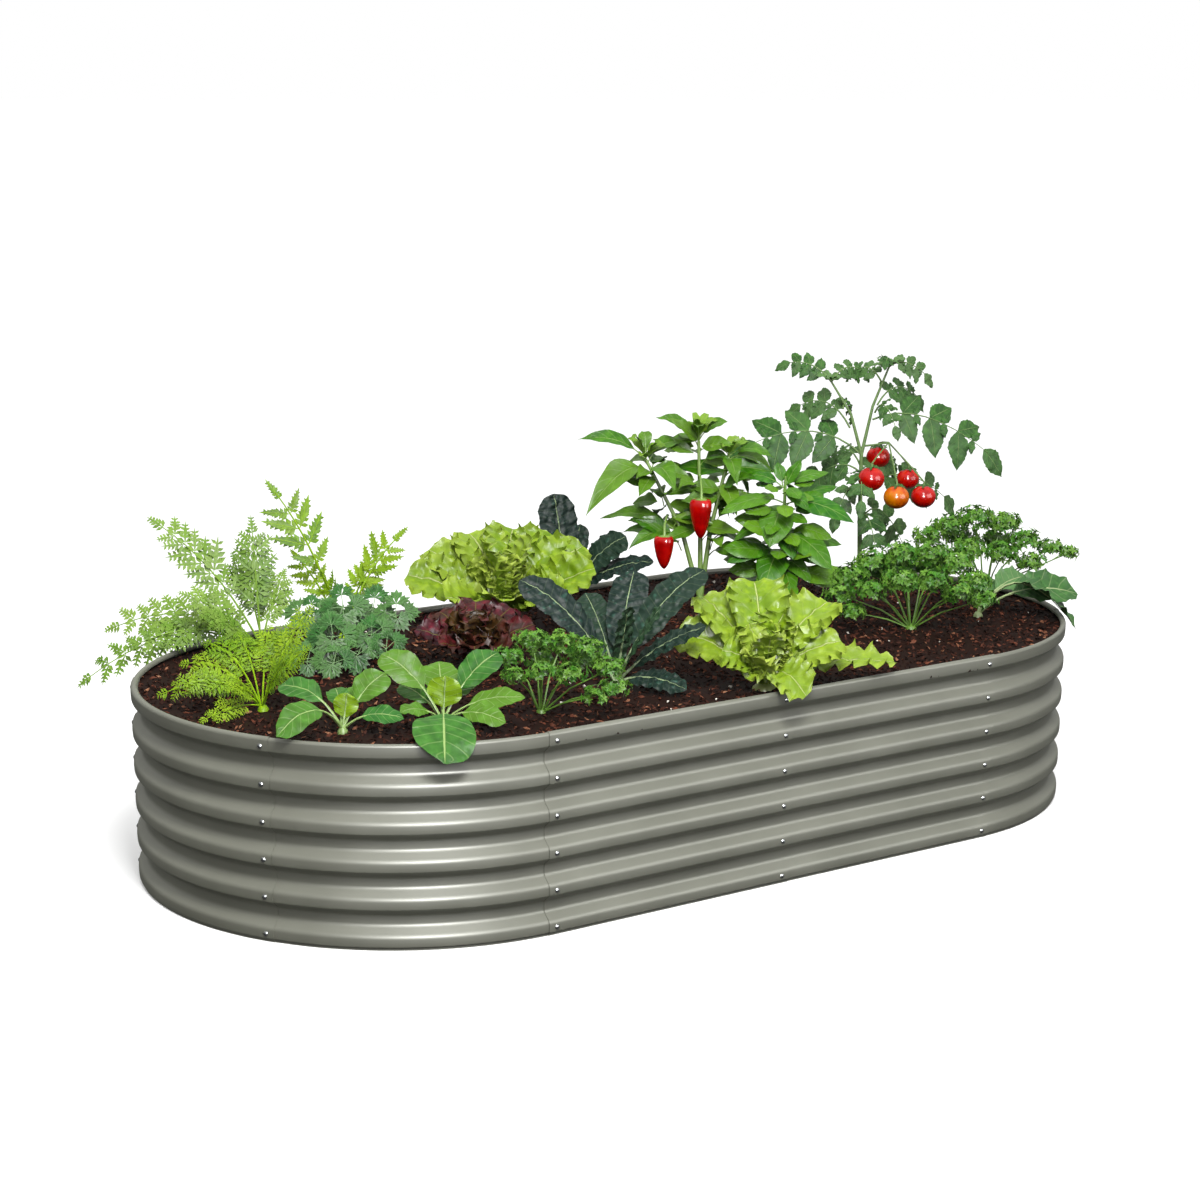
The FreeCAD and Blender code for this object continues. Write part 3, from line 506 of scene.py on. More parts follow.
# leaves: the veins follow the leaf's own map, across in U and from base to tip in V
def leafMaterial(look):
    material, tree = newMaterial(look["name"])
    places = addNode(tree, "TexCoord")
    split = addNode(tree, "SeparateXYZ", links={"Vector": places.outputs["UV"]})
    fromMiddle = addNode(tree, "Math", {"operation": "SUBTRACT", 1: 0.5},
                         {0: split.outputs["X"]})
    fromMiddle = addNode(tree, "Math", {"operation": "ABSOLUTE"}, {0: fromMiddle.outputs[0]})
    rib = addNode(tree, "MapRange", {"interpolation_type": "SMOOTHSTEP",
                                     "From Min": look["ribWidth"] * 0.35,
                                     "From Max": look["ribWidth"],
                                     "To Min": 1.0, "To Max": 0.0},
                  {"Value": fromMiddle.outputs[0]})
    along = addNode(tree, "Math", {"operation": "MULTIPLY", 1: look["veins"]},
                    {0: split.outputs["Y"]})
    slant = addNode(tree, "Math", {"operation": "MULTIPLY_ADD", 1: -look["veinSlant"]},
                    {0: fromMiddle.outputs[0], 2: along.outputs[0]})
    comb = addNode(tree, "Math", {"operation": "PINGPONG", 1: 0.5}, {0: slant.outputs[0]})
    vein = addNode(tree, "MapRange", {"interpolation_type": "SMOOTHSTEP",
                                      "From Min": 0.0, "From Max": 0.09,
                                      "To Min": look["veinShow"], "To Max": 0.0},
                   {"Value": comb.outputs[0]})
    lines = addNode(tree, "Math", {"operation": "MAXIMUM"},
                    {0: rib.outputs[0], 1: vein.outputs[0]})
    # the colour takes a random patchy tone, less a part that grows towards each blister cell's edge,
    # where the relief sinks: painted shade in the hollows between the blisters and painted highlight
    # on their crowns, at a strength set for each leaf
    blister = addNode(tree, "TexVoronoi", {"feature": "SMOOTH_F1",
                                           "Scale": 1 / (look["blisterMm"] * mm)},
                      {"Vector": places.outputs["Object"]})
    patches = addNode(tree, "TexNoise", {"Scale": 1 / (22.0 * mm), "Detail": 3.0},
                      {"Vector": places.outputs["Object"]})
    blisterShadedTone = addNode(tree, "Math", {"operation": "MULTIPLY_ADD", 1: -look["blisterShading"]},
                        {0: blister.outputs["Distance"], 2: patches.outputs["Fac"]})
    blade = addNode(tree, "ValToRGB", {"stops": [(0.18, look["deep"]), (0.5, look["middle"]),
                                                 (0.8, look["light"])]},
                    {"Fac": blisterShadedTone.outputs[0]})
    tint = addNode(tree, "Attribute", {"attribute_name": "tint"})
    young = addNode(tree, "Mix", {"data_type": "RGBA", 7: hexColour(look["young"])},
                    {0: tint.outputs["Fac"], 6: blade.outputs["Color"]})
    veined = addNode(tree, "Mix", {"data_type": "RGBA", 7: hexColour(look["rib"])},
                     {0: lines.outputs[0], 6: young.outputs[2]})
    height = addNode(tree, "Math", {"operation": "MULTIPLY_ADD", 1: -look["blisterDepth"]},
                     {0: blister.outputs["Distance"], 2: lines.outputs[0]})
    bump = addNode(tree, "Bump", {"Strength": 0.8, "Distance": look["reliefMm"] * mm},
                   {"Height": height.outputs[0]})
    rough = addNode(tree, "MapRange", {"To Min": look["rough"] - 0.07,
                                       "To Max": look["rough"] + 0.07},
                    {"Value": patches.outputs["Fac"]})
    shader = addNode(tree, "BsdfPrincipled", {"IOR": 1.42, "Specular IOR Level": 0.22,
                                              "Coat Weight": look["gloss"],
                                              "Coat Roughness": 0.3},
                     {"Base Color": veined.outputs[2], "Roughness": rough.outputs[0],
                      "Normal": bump.outputs["Normal"]})
    addNode(tree, "OutputMaterial", links={"Surface": shader.outputs[0]})
    return material


# a plant is grown as thin blades and round stems, in its own frame: across, away, up
def newPlant(seed):
    plant = {"random": random.Random(seed)}
    for part in ("blades", "stems"):
        plant[part] = bmesh.new()
        plant[part].loops.layers.uv.new("UVMap")
        plant[part].verts.layers.float.new("tint")
    return plant


def addFace(bm, corners, places):
    try:
        face = bm.faces.new(corners)
    except ValueError:
        return
    layer = bm.loops.layers.uv.active
    for loop, place in zip(face.loops, places):
        loop[layer].uv = place


def archPoint(start, tip, arch, share):
    knee = Vector((start.x + 0.4 * (tip.x - start.x), start.y + 0.4 * (tip.y - start.y), arch))
    return start * (1 - share) ** 2 + knee * (2 * share * (1 - share)) + tip * share ** 2


def archFrame(start, tip, arch, share, roll=0.0):
    # point, direction of growth, sideways and upward at a share of the way to the tip; blades
    # that grow to the side tip their upper face to the front
    point = archPoint(start, tip, arch, share)
    ahead = archPoint(start, tip, arch, min(share + 0.02, 1.0))
    behind = archPoint(start, tip, arch, max(share - 0.02, 0.0))
    along = (ahead - behind).normalized()
    heading = Vector((tip.x - start.x, tip.y - start.y, 0))
    heading = heading.normalized() if heading.length > 0.5 else Vector((1, 0, 0))
    sidewaysRoll = math.radians(35)
    if tip.z >= 0:
        roll += sidewaysRoll * heading.x
    across = Matrix.Rotation(roll, 3, (tip - start).normalized()) @ Vector((-heading.y, heading.x, 0))
    return point, along, across, along.cross(across).normalized()


def addTube(plant, points, radii, sides=6, tint=0.0, flat=1.0):
    # a round stem through the points
    bm = plant["stems"]
    layer = bm.verts.layers.float["tint"]
    side = Vector((0.31, 0.95, 0.07))
    rings = []
    for at, (point, radius) in enumerate(zip(points, radii)):
        after = points[min(at + 1, len(points) - 1)]
        before = points[max(at - 1, 0)]
        along = (after - before).normalized()
        first = (side - along * side.dot(along)).normalized()
        side = first
        second = along.cross(first)
        ring = []
        for step in range(sides):
            angle = 2 * math.pi * step / sides
            vert = bm.verts.new(point + first * (radius * math.cos(angle))
                                + second * (radius * flat * math.sin(angle)))
            vert[layer] = tint
            ring.append(vert)
        rings.append(ring)
    for at, (low, high) in enumerate(zip(rings, rings[1:])):
        v0, v1 = at / (len(rings) - 1), (at + 1) / (len(rings) - 1)
        for step in range(sides):
            after = (step + 1) % sides
            addFace(bm, (low[step], low[after], high[after], high[step]),
                    ((0.5, v0), (0.5, v0), (0.5, v1), (0.5, v1)))
    addFace(bm, rings[0][::-1], [(0.5, 0.0)] * sides)
    addFace(bm, rings[-1], [(0.5, 1.0)] * sides)


def addBlade(plant, frames, width, shape, tint):
    # a leaf blade over a run of frames, ruffled and puckered as its shape says
    bm = plant["blades"]
    rng = plant["random"]
    layer = bm.verts.layers.float["tint"]
    columns = shape["columns"]
    phases = (rng.uniform(0, 6.28), rng.uniform(0, 6.28))
    offset = rng.uniform(0, 100)
    rows = []
    last = len(frames) - 1
    for at, (point, along, across, up) in enumerate(frames):
        v = shape["spacing"][at] if "spacing" in shape else at / last
        half = width / 2 * curveValue(shape["outline"], v)
        row = []
        for column in range(columns + 1):
            u = -1 + 2 * column / columns
            reach = abs(u)
            phase = phases[0] if u < 0 else phases[1]
            saw = (v * shape["teeth"] + phase) % 1.0 if shape["teeth"] else 0.0
            bite = 1 - shape["toothDepth"] * saw * reach ** 3
            side = u * half * bite
            fade = min(1.0, 4 * v, 6 * (1.04 - v))
            wave = math.sin(6.28 * shape["waves"] * v + phase)
            wave += 0.5 * math.sin(6.28 * shape["waves"] * 2.3 * v + 2 * phase)
            edge = reach ** shape["edge"]
            lift = shape["ruffle"] * edge * wave * fade
            lift += abs(side) * math.tan(math.radians(shape["fold"]))
            lift += shape["cup"] * half * reach * reach
            if shape["pucker"]:
                size = shape["puckerMm"]
                bump = noise.noise(Vector((u * half / size, v * shape["span"] / size, offset)))
                lift += shape["pucker"] * bump * fade * (1 - 0.6 * reach ** 4)
            drift = shape["ruffle"] * 0.6 * edge * math.cos(6.28 * shape["waves"] * v + phase)
            vert = bm.verts.new(point + across * side + up * lift + along * (drift * fade))
            vert[layer] = tint + shape.get("edgeTint", 0.0) * reach * reach * v
            row.append(vert)
        rows.append((row, v))
    for (low, v0), (high, v1) in zip(rows, rows[1:]):
        for column in range(columns):
            u0, u1 = column / columns, (column + 1) / columns
            addFace(bm, (low[column + 1], low[column], high[column], high[column + 1]),
                    ((u1, v0), (u0, v0), (u0, v1), (u1, v1)))


def addLeaf(plant, start, tip, arch, width, shape, tint=0.0, stalk=0.35, stalkRadius=3.0,
            twist=0.0):
    start, tip = Vector(start), Vector(tip)
    rows = shape["rows"]
    spacing = [0.5 - 0.5 * math.cos(math.pi * at / rows) for at in range(rows + 1)]
    shape = dict(shape, spacing=spacing, span=(tip - start).length * (1 - stalk))
    frames = [archFrame(start, tip, arch, stalk + (1 - stalk) * v, twist * v)
              for v in spacing]
    addBlade(plant, frames, width, shape, tint)
    if stalkRadius:
        shares = [stalk * at / 4 for at in range(4)] + [
            stalk + (1 - stalk) * at for at in (0.0, 0.15, 0.35, 0.6, 0.85)]
        points, radii = [], []
        for share in shares:
            point, along, across, up = archFrame(start, tip, arch, share)
            body = max(0.0, (share - stalk) / (1 - stalk))
            radius = stalkRadius * (1.15 - 0.35 * min(share / max(stalk, 0.01), 1.0))
            radius *= (1 - body) ** 0.8 if body else 1.0
            radii.append(max(radius, 0.3))
            points.append(point - up * (radius * 0.7 * min(1.0, body * 6)))
        addTube(plant, points, radii, tint=tint)


def addFinger(plant, base, along, up, length, width, tint, sag=0.15):
    # the smallest leaflet: a pointed lobe folded on its middle line
    bm = plant["blades"]
    layer = bm.verts.layers.float["tint"]
    across = along.cross(up).normalized()
    mid = base + along * (length * 0.5) - up * (length * sag * 0.25)
    end = base + along * length - up * (length * sag)
    rim = up * (width * 0.18)
    points = [base, mid + across * (width / 2) + rim, end, mid - across * (width / 2) + rim, mid]
    verts = [bm.verts.new(p) for p in points]
    for vert in verts:
        vert[layer] = tint
    places = [(0.5, 0.0), (0.9, 0.5), (0.5, 1.0), (0.1, 0.5), (0.5, 0.5)]
    for corner in ((0, 1, 4), (1, 2, 4), (2, 3, 4), (3, 0, 4)):
        addFace(bm, [verts[c] for c in corner], [places[c] for c in corner])


def addLeaflet(plant, base, way, facing, length, width, shape, tint, sag=0.12):
    # a leaflet that grows one way and keeps its face to the light
    along = way.normalized()
    up = (facing - along * facing.dot(along)).normalized()
    across = up.cross(along)
    frames = []
    for at in range(shape["rows"] + 1):
        v = at / shape["rows"]
        frames.append((base + along * (length * v) - up * (length * sag * v * v),
                       along, across, up))
    addBlade(plant, frames, width, dict(shape, span=length), tint)


def addPinna(plant, base, way, facing, length, shape, tint):
    # a cut side leaf: pairs of pointed lobes that get shorter towards the tip
    rng = plant["random"]
    up = (facing - way * facing.dot(way)).normalized()
    across = up.cross(way)
    lobes = shape["lobes"]
    addFinger(plant, base, way, up, length, length * shape["middle"], tint, sag=0.1)
    for at in range(lobes):
        share = at / lobes
        spot = base + way * (length * (0.1 + 0.82 * share)) - up * (length * 0.1 * share ** 2)
        size = length * shape["lobeLength"] * (1 - 0.62 * share)
        for side in (-1, 1):
            turn = way * rng.uniform(0.5, 0.8) + across * side + up * rng.uniform(-0.25, 0.3)
            reach = size * rng.uniform(0.85, 1.15)
            tone = tint + rng.uniform(-0.1, 0.2)
            addFinger(plant, spot, turn.normalized(), up, reach, reach * shape["lobeWidth"], tone)


def addFrond(plant, start, tip, arch, width, shape, tint=0.0, stalk=0.35):
    # an arched stem with pairs of cut side leaves that face the light
    rng = plant["random"]
    start, tip = Vector(start), Vector(tip)
    shares = [at / 9 for at in range(10)]
    points = [archFrame(start, tip, arch, share)[0] for share in shares]
    radii = [shape["stem"] * (1 - 0.65 * share) for share in shares]
    addTube(plant, points, radii, 5, tint)
    pairs = shape["pairs"]
    for pair in range(pairs + 1):
        share = stalk + (1 - stalk) * pair / (pairs + 0.6)
        point, along, across, up = archFrame(start, tip, arch, share)
        facing = up * 0.45 + Vector((0, -0.75, 0.35))
        facing = (facing - along * facing.dot(along)).normalized()
        across = facing.cross(along)
        length = width * shape["reach"] * curveValue(shape["outline"], pair / pairs)
        if pair == pairs:
            addPinna(plant, point, along, facing, length * 1.1, shape, tint)
            break
        for side in (-1, 1):
            way = across * side * rng.uniform(0.8, 1.0) + along * shape["forward"]
            way += facing * rng.uniform(-0.3, 0.25)
            addPinna(plant, point, way.normalized(), facing, length * rng.uniform(0.85, 1.15),
                     shape, tint + rng.uniform(-0.1, 0.2))


def plantPlace(name):
    # from a plant's own frame to metres in the bed
    turn = Matrix.Rotation(math.radians(plantTurn), 4, "Z")
    foot = Matrix.Translation((*plantRoots[name], soilTop + 0.3))
    return Matrix.Scale(mm, 4) @ (foot @ turn)


def finishPlant(plant, name, node, material):
    # blades get their thickness, are joined with the stems and set on the compost
    place = plantPlace(name)
    grown = []
    for part in ("blades", "stems"):
        bm = plant[part]
        bm.transform(place)
        grown.append(meshObject(name, bm))
    blades, stems = grown
    applyModifier(blades, "SOLIDIFY", thickness=0.5 * mm, offset=0.0)
    takeUp(blades)
    stems.select_set(True)
    bpy.ops.object.join()
    blades.name = name
    smooth(blades, 60)
    blades.data.materials.append(material)
    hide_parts(node)
    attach(blades, "root")
    print(name, len(blades.data.polygons), "faces")
    return blades


def addCrown(plant, width, height, tint=0.2):
    addTube(plant, [Vector((0, 0, -4)), Vector((0, 0, height * 0.5)), Vector((0, 0, height))],
            [width * 0.5, width * 0.45, width * 0.28], 10, tint)


plainShape = {
    "rows": 22, "columns": 10, "teeth": 0, "toothDepth": 0.0, "waves": 2.0, "edge": 2.5,
    "ruffle": 2.0, "fold": 8.0, "cup": 0.05, "pucker": 1.2, "puckerMm": 14.0,
    "outline": [(0, 0.1), (0.16, 0.62), (0.38, 0.94), (0.6, 1.0), (0.8, 0.82), (0.93, 0.5),
                (1, 0.06)],
}


# spinach: soft smooth leaves, satin, with a pale midrib and sunken side veins
spinachLeaf = leafMaterial({
    "name": "spinach leaf", "deep": "#1A5214", "middle": "#316C20", "light": "#55873B",
    "young": "#7D9E00", "rib": "#8BA661", "ribWidth": 0.028, "veins": 6.0, "veinSlant": 2.2,
    "veinShow": 0.3, "blisterMm": 15.0, "blisterShading": 0.35, "blisterDepth": 1.6,
    "rough": 0.42, "reliefMm": 2.0, "gloss": 0.08})
spinachShape = dict(plainShape, ruffle=3.0, pucker=2.4, cup=-0.1,
                    outline=[(0, 0.1), (0.15, 0.62), (0.35, 0.94), (0.56, 1.0), (0.76, 0.92),
                             (0.91, 0.62), (1, 0.06)])

spinachSmall = {
    "crown": 24,
    "leaves": [(-134, 30, 94, 54, 112), (87, 60, 115, 60, 96), (127, -10, 35, 44, 62),
               (-22, 95, 74, 40, 80), (10, 12, 84, 46, 42), (-124, -122, 26, 60, 112),
               (50, 112, 84, 44, 80)],
    "young": (4,),
}
spinachLarge = {
    "crown": 28,
    "leaves": [(-129, 50, 145, 66, 120), (116, 60, 146, 64, 120), (172, -20, 68, 48, 78),
               (132, -72, 28, 46, 62), (-95, 84, 70, 44, 70), (-88, -50, 44, 40, 58),
               (6, 14, 106, 66, 52), (-12, 120, 112, 66, 90), (12, -232, -16, 100, 116),
               (72, 134, 92, 50, 80)],
    "young": (6,),
}


def growSpinach(data, name, node, seed):
    plant = newPlant(seed)
    rng = plant["random"]
    addCrown(plant, data["crown"], 14, 0.5)
    for at, (right, away, up, width, arch) in enumerate(data["leaves"]):
        young = at in data["young"]
        low = up < 0
        addLeaf(plant, (0, 0, 9), (right, away, up), arch, width * (1.3 if low else 1.15),
                spinachShape, tint=0.85 if young else rng.uniform(0.0, 0.3),
                stalk=0.52 if low else 0.36, stalkRadius=3.2, twist=rng.uniform(-0.3, 0.3))
    finishPlant(plant, name, node, spinachLeaf)


growSpinach(spinachSmall, "spinach_small", "plant_spinach_small", 21)
growSpinach(spinachLarge, "spinach_large", "plant_spinach_large", 22)


# black kale: long blistered blades, blue green with a waxy bloom and a pale midrib
# besides a random patchy tone, the near black deep stop falls in the hollows between the blisters as
# painted shade and the pale light stop on their crowns as painted highlight
kaleLeaf = leafMaterial({
    "name": "black kale leaf", "deep": "#0A211B", "middle": "#274A3E", "light": "#64867A",
    "young": "#446A3D", "rib": "#8DA076", "ribWidth": 0.02, "veins": 11.0, "veinSlant": 1.6,
    "veinShow": 0.08, "blisterMm": 15.0, "blisterShading": 1.25, "blisterDepth": 3.0,
    "rough": 0.55, "reliefMm": 3.0, "gloss": 0.0})
kaleShape = dict(plainShape, rows=48, columns=18, ruffle=3.5, waves=5.0, edge=5.0, fold=6.0,
                 cup=-0.12, pucker=5.5, puckerMm=11.0,
                 outline=[(0, 0.3), (0.1, 0.66), (0.3, 0.92), (0.55, 1.0), (0.78, 0.94),
                          (0.9, 0.76), (0.965, 0.48), (1, 0.06)])
kaleFront = {
    "crown": 34,
    "leaves": [(-214, 30, 238, 84, 190), (44, 150, 236, 88, 170), (200, 110, 246, 88, 200),
               (94, -70, 198, 64, 110), (196, -44, 150, 60, 110), (152, -84, 16, 66, 56),
               (24, -60, 196, 50, 110), (-66, 170, 180, 70, 130)],
    "young": (3, 6),
}
kaleBack = {
    "crown": 34,
    "leaves": [(-37, 20, 276, 108, 170), (34, 60, 190, 64, 110), (150, -20, 172, 96, 130),
               (218, -84, 118, 84, 110), (20, -110, 150, 80, 110)],
    "young": (),
}


def growKale(data, name, node, seed):
    plant = newPlant(seed)
    rng = plant["random"]
    addCrown(plant, data["crown"], 14, 0.6)
    for at, (right, away, up, width, arch) in enumerate(data["leaves"]):
        tint = 0.35 if at in data["young"] else rng.uniform(0.0, 0.12)
        addLeaf(plant, (0, 0, 9), (right, away, up), arch, width, kaleShape, tint=tint,
                stalk=0.24, stalkRadius=4.0, twist=rng.uniform(-0.25, 0.25))
    finishPlant(plant, name, node, kaleLeaf)


growKale(kaleFront, "kale_front", "plant_kale_front", 31)
growKale(kaleBack, "kale_back", "plant_kale_back", 32)


# green lettuce: crisp, thin and ruffled, bright yellow green and a little shiny
lettuceLeaf = leafMaterial({
    "name": "green lettuce leaf", "deep": "#5E8000", "middle": "#7F9E00", "light": "#9EB43A",
    "young": "#A4B749", "rib": "#A9B66E", "ribWidth": 0.02, "veins": 6.0, "veinSlant": 3.4,
    "veinShow": 0.12, "blisterMm": 20.0, "blisterShading": 0.6, "blisterDepth": 1.8,
    "rough": 0.4, "reliefMm": 3.0, "gloss": 0.06})
lettuceShape = dict(plainShape, rows=54, columns=26, ruffle=12.0, waves=8.0, edge=2.8,
                    fold=10.0, cup=0.2, pucker=8.0, puckerMm=19.0, teeth=17,
                    toothDepth=0.12, edgeTint=0.5,
                    outline=[(0, 0.22), (0.15, 0.42), (0.4, 0.76), (0.65, 1.0), (0.85, 0.96),
                             (0.95, 0.7), (1, 0.3)])
lettuceBack = {
    "crown": 60, "heart": 12, "heartReach": 95, "heartUp": 200,
    "leaves": [(-240, 10, 126, 130, 110), (-190, 96, 172, 124, 140), (-90, 140, 206, 128, 170),
               (20, 150, 216, 130, 190), (120, 130, 204, 128, 170), (196, 84, 184, 124, 140),
               (222, -40, 152, 120, 110), (140, -124, 104, 124, 90), (0, -160, 96, 136, 90),
               (-140, -134, 98, 124, 90), (-60, -40, 226, 110, 150), (70, -30, 226, 110, 150)],
}
lettuceFront = {
    "crown": 56, "heart": 10, "heartReach": 80, "heartUp": 160,
    "leaves": [(-190, 66, 116, 112, 104), (-132, 128, 182, 120, 140), (-14, 150, 214, 130, 170),
               (150, 124, 172, 120, 140), (170, 20, 106, 108, 92), (-96, -14, 92, 100, 86),
               (-44, -44, 36, 70, 60), (82, -112, 12, 96, 92), (300, 86, 42, 76, 80),
               (40, 10, 170, 100, 120)],
}


def growLettuce(data, name, node, seed, shape, material):
    plant = newPlant(seed)
    rng = plant["random"]
    addCrown(plant, data["crown"], 14, 0.7)
    for right, away, up, width, arch in data["leaves"]:
        addLeaf(plant, (0, 0, 9), (right, away, up), arch, width * 1.12, shape,
                tint=rng.uniform(0.0, 0.35), stalk=0.06, stalkRadius=4.0,
                twist=rng.uniform(-0.3, 0.3))
    for at in range(data["heart"]):
        angle = 2.4 * at
        reach = data["heartReach"] * rng.uniform(0.35, 1.0)
        up = data["heartUp"] * rng.uniform(0.55, 0.95)
        addLeaf(plant, (0, 0, 5), (reach * math.cos(angle), reach * math.sin(angle), up),
                up * 0.62, rng.uniform(70, 105), shape, tint=rng.uniform(0.3, 0.8),
                stalk=0.06, stalkRadius=3.0)
    finishPlant(plant, name, node, material)


growLettuce(lettuceBack, "lettuce_green_back", "plant_lettuce_green_back", 41, lettuceShape,
            lettuceLeaf)
growLettuce(lettuceFront, "lettuce_green_front", "plant_lettuce_green_front", 42,
            lettuceShape, lettuceLeaf)


# red lettuce: frilled maroon leaves, shiny at the folds, olive towards the base
redLettuceLeaf = leafMaterial({
    "name": "red lettuce leaf", "deep": "#2B0410", "middle": "#5C0A20", "light": "#8E1B36",
    "young": "#483710", "rib": "#5E5025", "ribWidth": 0.02, "veins": 5.0, "veinSlant": 3.0,
    "veinShow": 0.16, "blisterMm": 16.0, "blisterShading": 0.5, "blisterDepth": 1.4,
    "rough": 0.42, "reliefMm": 2.5, "gloss": 0.02})
redLettuceShape = dict(lettuceShape, rows=36, columns=20, ruffle=11.0, waves=5.5, teeth=9,
                       toothDepth=0.34, edge=2.2, pucker=5.0, edgeTint=0.0)
lettuceRed = {
    "crown": 40, "heart": 12, "heartReach": 70, "heartUp": 130,
    "leaves": [(-136, 10, 82, 84, 70), (-84, 80, 108, 84, 90), (0, 110, 126, 88, 110),
               (82, 88, 116, 84, 90), (136, 16, 92, 84, 70), (-80, -74, 66, 80, 60),
               (80, -76, 58, 80, 60), (2, -104, 60, 84, 70), (-40, -20, 136, 70, 90),
               (42, -20, 132, 70, 90)],
}
growLettuce(lettuceRed, "lettuce_red", "plant_lettuce_red", 43, redLettuceShape,
            redLettuceLeaf)


# chard: broad wavy leaves that hang over the rim, with a pale midrib
chardLeaf = leafMaterial({
    "name": "chard leaf", "deep": "#1F4C18", "middle": "#366626", "light": "#5B8248",
    "young": "#688F58", "rib": "#96A775", "ribWidth": 0.026, "veins": 7.0, "veinSlant": 2.2,
    "veinShow": 0.35, "blisterMm": 16.0, "blisterShading": 0.5, "blisterDepth": 1.5,
    "rough": 0.48, "reliefMm": 2.4, "gloss": 0.05})
chardShape = dict(plainShape, rows=30, columns=14, ruffle=6.0, waves=3.5, edge=2.2, teeth=0,
                  pucker=2.5)
chard = {
    "crown": 26,
    "leaves": [(252, 24, 56, 78, 104), (238, -40, -20, 92, 190), (140, 90, 86, 58, 100),
               (60, 110, 74, 46, 80)],
}


def growChard():
    plant = newPlant(51)
    addCrown(plant, chard["crown"], 14, 0.6)
    for right, away, up, width, arch in chard["leaves"]:
        addLeaf(plant, (0, 0, 9), (right, away, up), arch, width * 1.4, chardShape,
                tint=plant["random"].uniform(0.0, 0.5), stalk=0.4, stalkRadius=4.0)
    finishPlant(plant, "chard", "plant_chard", chardLeaf)


growChard()


# carrot tops and chervil: feathery fronds
def feathersMaterial(name, deep, middle, light, young):
    return leafMaterial({
        "name": name, "deep": deep, "middle": middle, "light": light, "young": young,
        "rib": light, "ribWidth": 0.05, "veins": 3.0, "veinSlant": 1.5, "veinShow": 0.1,
        "blisterMm": 6.0, "blisterShading": 0.2, "blisterDepth": 0.4, "rough": 0.5,
        "reliefMm": 0.8, "gloss": 0.0})


carrotLeaf = feathersMaterial("carrot leaf", "#3B6200", "#5F8B00", "#86AD06", "#98B520")
chervilLeaf = feathersMaterial("chervil leaf", "#41690C", "#5F8A1E", "#80A53C", "#92AE50")
featherShape = {
    "stem": 2.2, "pairs": 6, "reach": 0.6, "lobes": 4, "lobeLength": 0.5, "lobeWidth": 0.33,
    "middle": 0.07, "forward": 0.9, "outline": [(0, 0.8), (0.3, 1.0), (0.65, 0.8), (1, 0.6)],
}
carrotFront = {
    "crown": 26,
    "fronds": [(-216, 0, 38, 84, 92), (-176, 80, 86, 84, 110), (-128, 100, 126, 84, 130),
               (-64, 120, 140, 80, 130), (4, 130, 152, 80, 130), (48, 90, 164, 76, 120),
               (100, 40, 212, 80, 140), (-160, -50, 72, 80, 90), (-112, -128, 12, 66, 36),
               (-60, -90, 72, 70, 70), (60, -80, 130, 70, 80), (96, -20, 140, 70, 100)],
}
carrotTall = {
    "crown": 26,
    "fronds": [(-156, 20, 356, 136, 230), (134, 30, 246, 116, 170), (-118, 90, 190, 90, 130),
               (70, 96, 172, 90, 120), (-40, -90, 180, 80, 100)],
}
chervil = {
    "crown": 30,
    "fronds": [(-430, 10, -70, 116, 130), (-360, 60, 52, 116, 150), (-240, 60, 300, 120, 210),
               (-156, -50, 150, 100, 110), (-62, 84, 206, 100, 150), (-20, 50, 290, 110, 170),
               (40, 104, 166, 90, 110), (-110, -104, 112, 90, 80), (-300, -40, 30, 100, 110)],
}


def growFeathers(data, name, node, seed, shape, material, stalk=0.35):
    plant = newPlant(seed)
    rng = plant["random"]
    addCrown(plant, data["crown"], 12, 0.4)
    for right, away, up, width, arch in data["fronds"]:
        spread = rng.uniform(0, 6.28)
        foot = (5 * math.cos(spread), 5 * math.sin(spread), 9)
        addFrond(plant, foot, (right, away, up), arch, width, shape,
                 tint=rng.uniform(0.0, 0.6), stalk=stalk)
    finishPlant(plant, name, node, material)


growFeathers(carrotFront, "carrot_front", "plant_carrot_front", 61, featherShape, carrotLeaf)
growFeathers(carrotTall, "carrot_tall", "plant_carrot_tall", 62,
             dict(featherShape, stem=4.0, pairs=4, lobes=6, reach=0.7, lobeLength=0.27,
                  lobeWidth=0.55, middle=0.24, forward=0.75), carrotLeaf, 0.45)
growFeathers(chervil, "chervil", "plant_chervil", 63,
             dict(featherShape, stem=3.0, pairs=7, lobes=5, reach=0.68, lobeLength=0.38,
                  lobeWidth=0.46, middle=0.14, forward=0.8), chervilLeaf)


# coriander: flat blue green leaves cut into toothed wedges
corianderLeaf = leafMaterial({
    "name": "coriander leaf", "deep": "#123F12", "middle": "#2A6422", "light": "#4F8140",
    "young": "#638B4A", "rib": "#799B67", "ribWidth": 0.03, "veins": 4.0, "veinSlant": 1.4,
    "veinShow": 0.2, "blisterMm": 7.0, "blisterShading": 0.2, "blisterDepth": 0.4,
    "rough": 0.5, "reliefMm": 1.2, "gloss": 0.05})
coriander = {
    "crown": 24,
    "tufts": [(-58, -70, 38, 34), (4, -90, 40, 34), (58, -64, 54, 34), (-84, -16, 78, 34),
              (0, -44, 90, 38), (88, -34, 94, 34), (-58, 30, 126, 34), (20, 20, 146, 38),
              (86, 40, 132, 36), (140, 16, 124, 34), (122, -60, 66, 28), (40, 84, 110, 36),
              (-30, 84, 100, 36)],
}


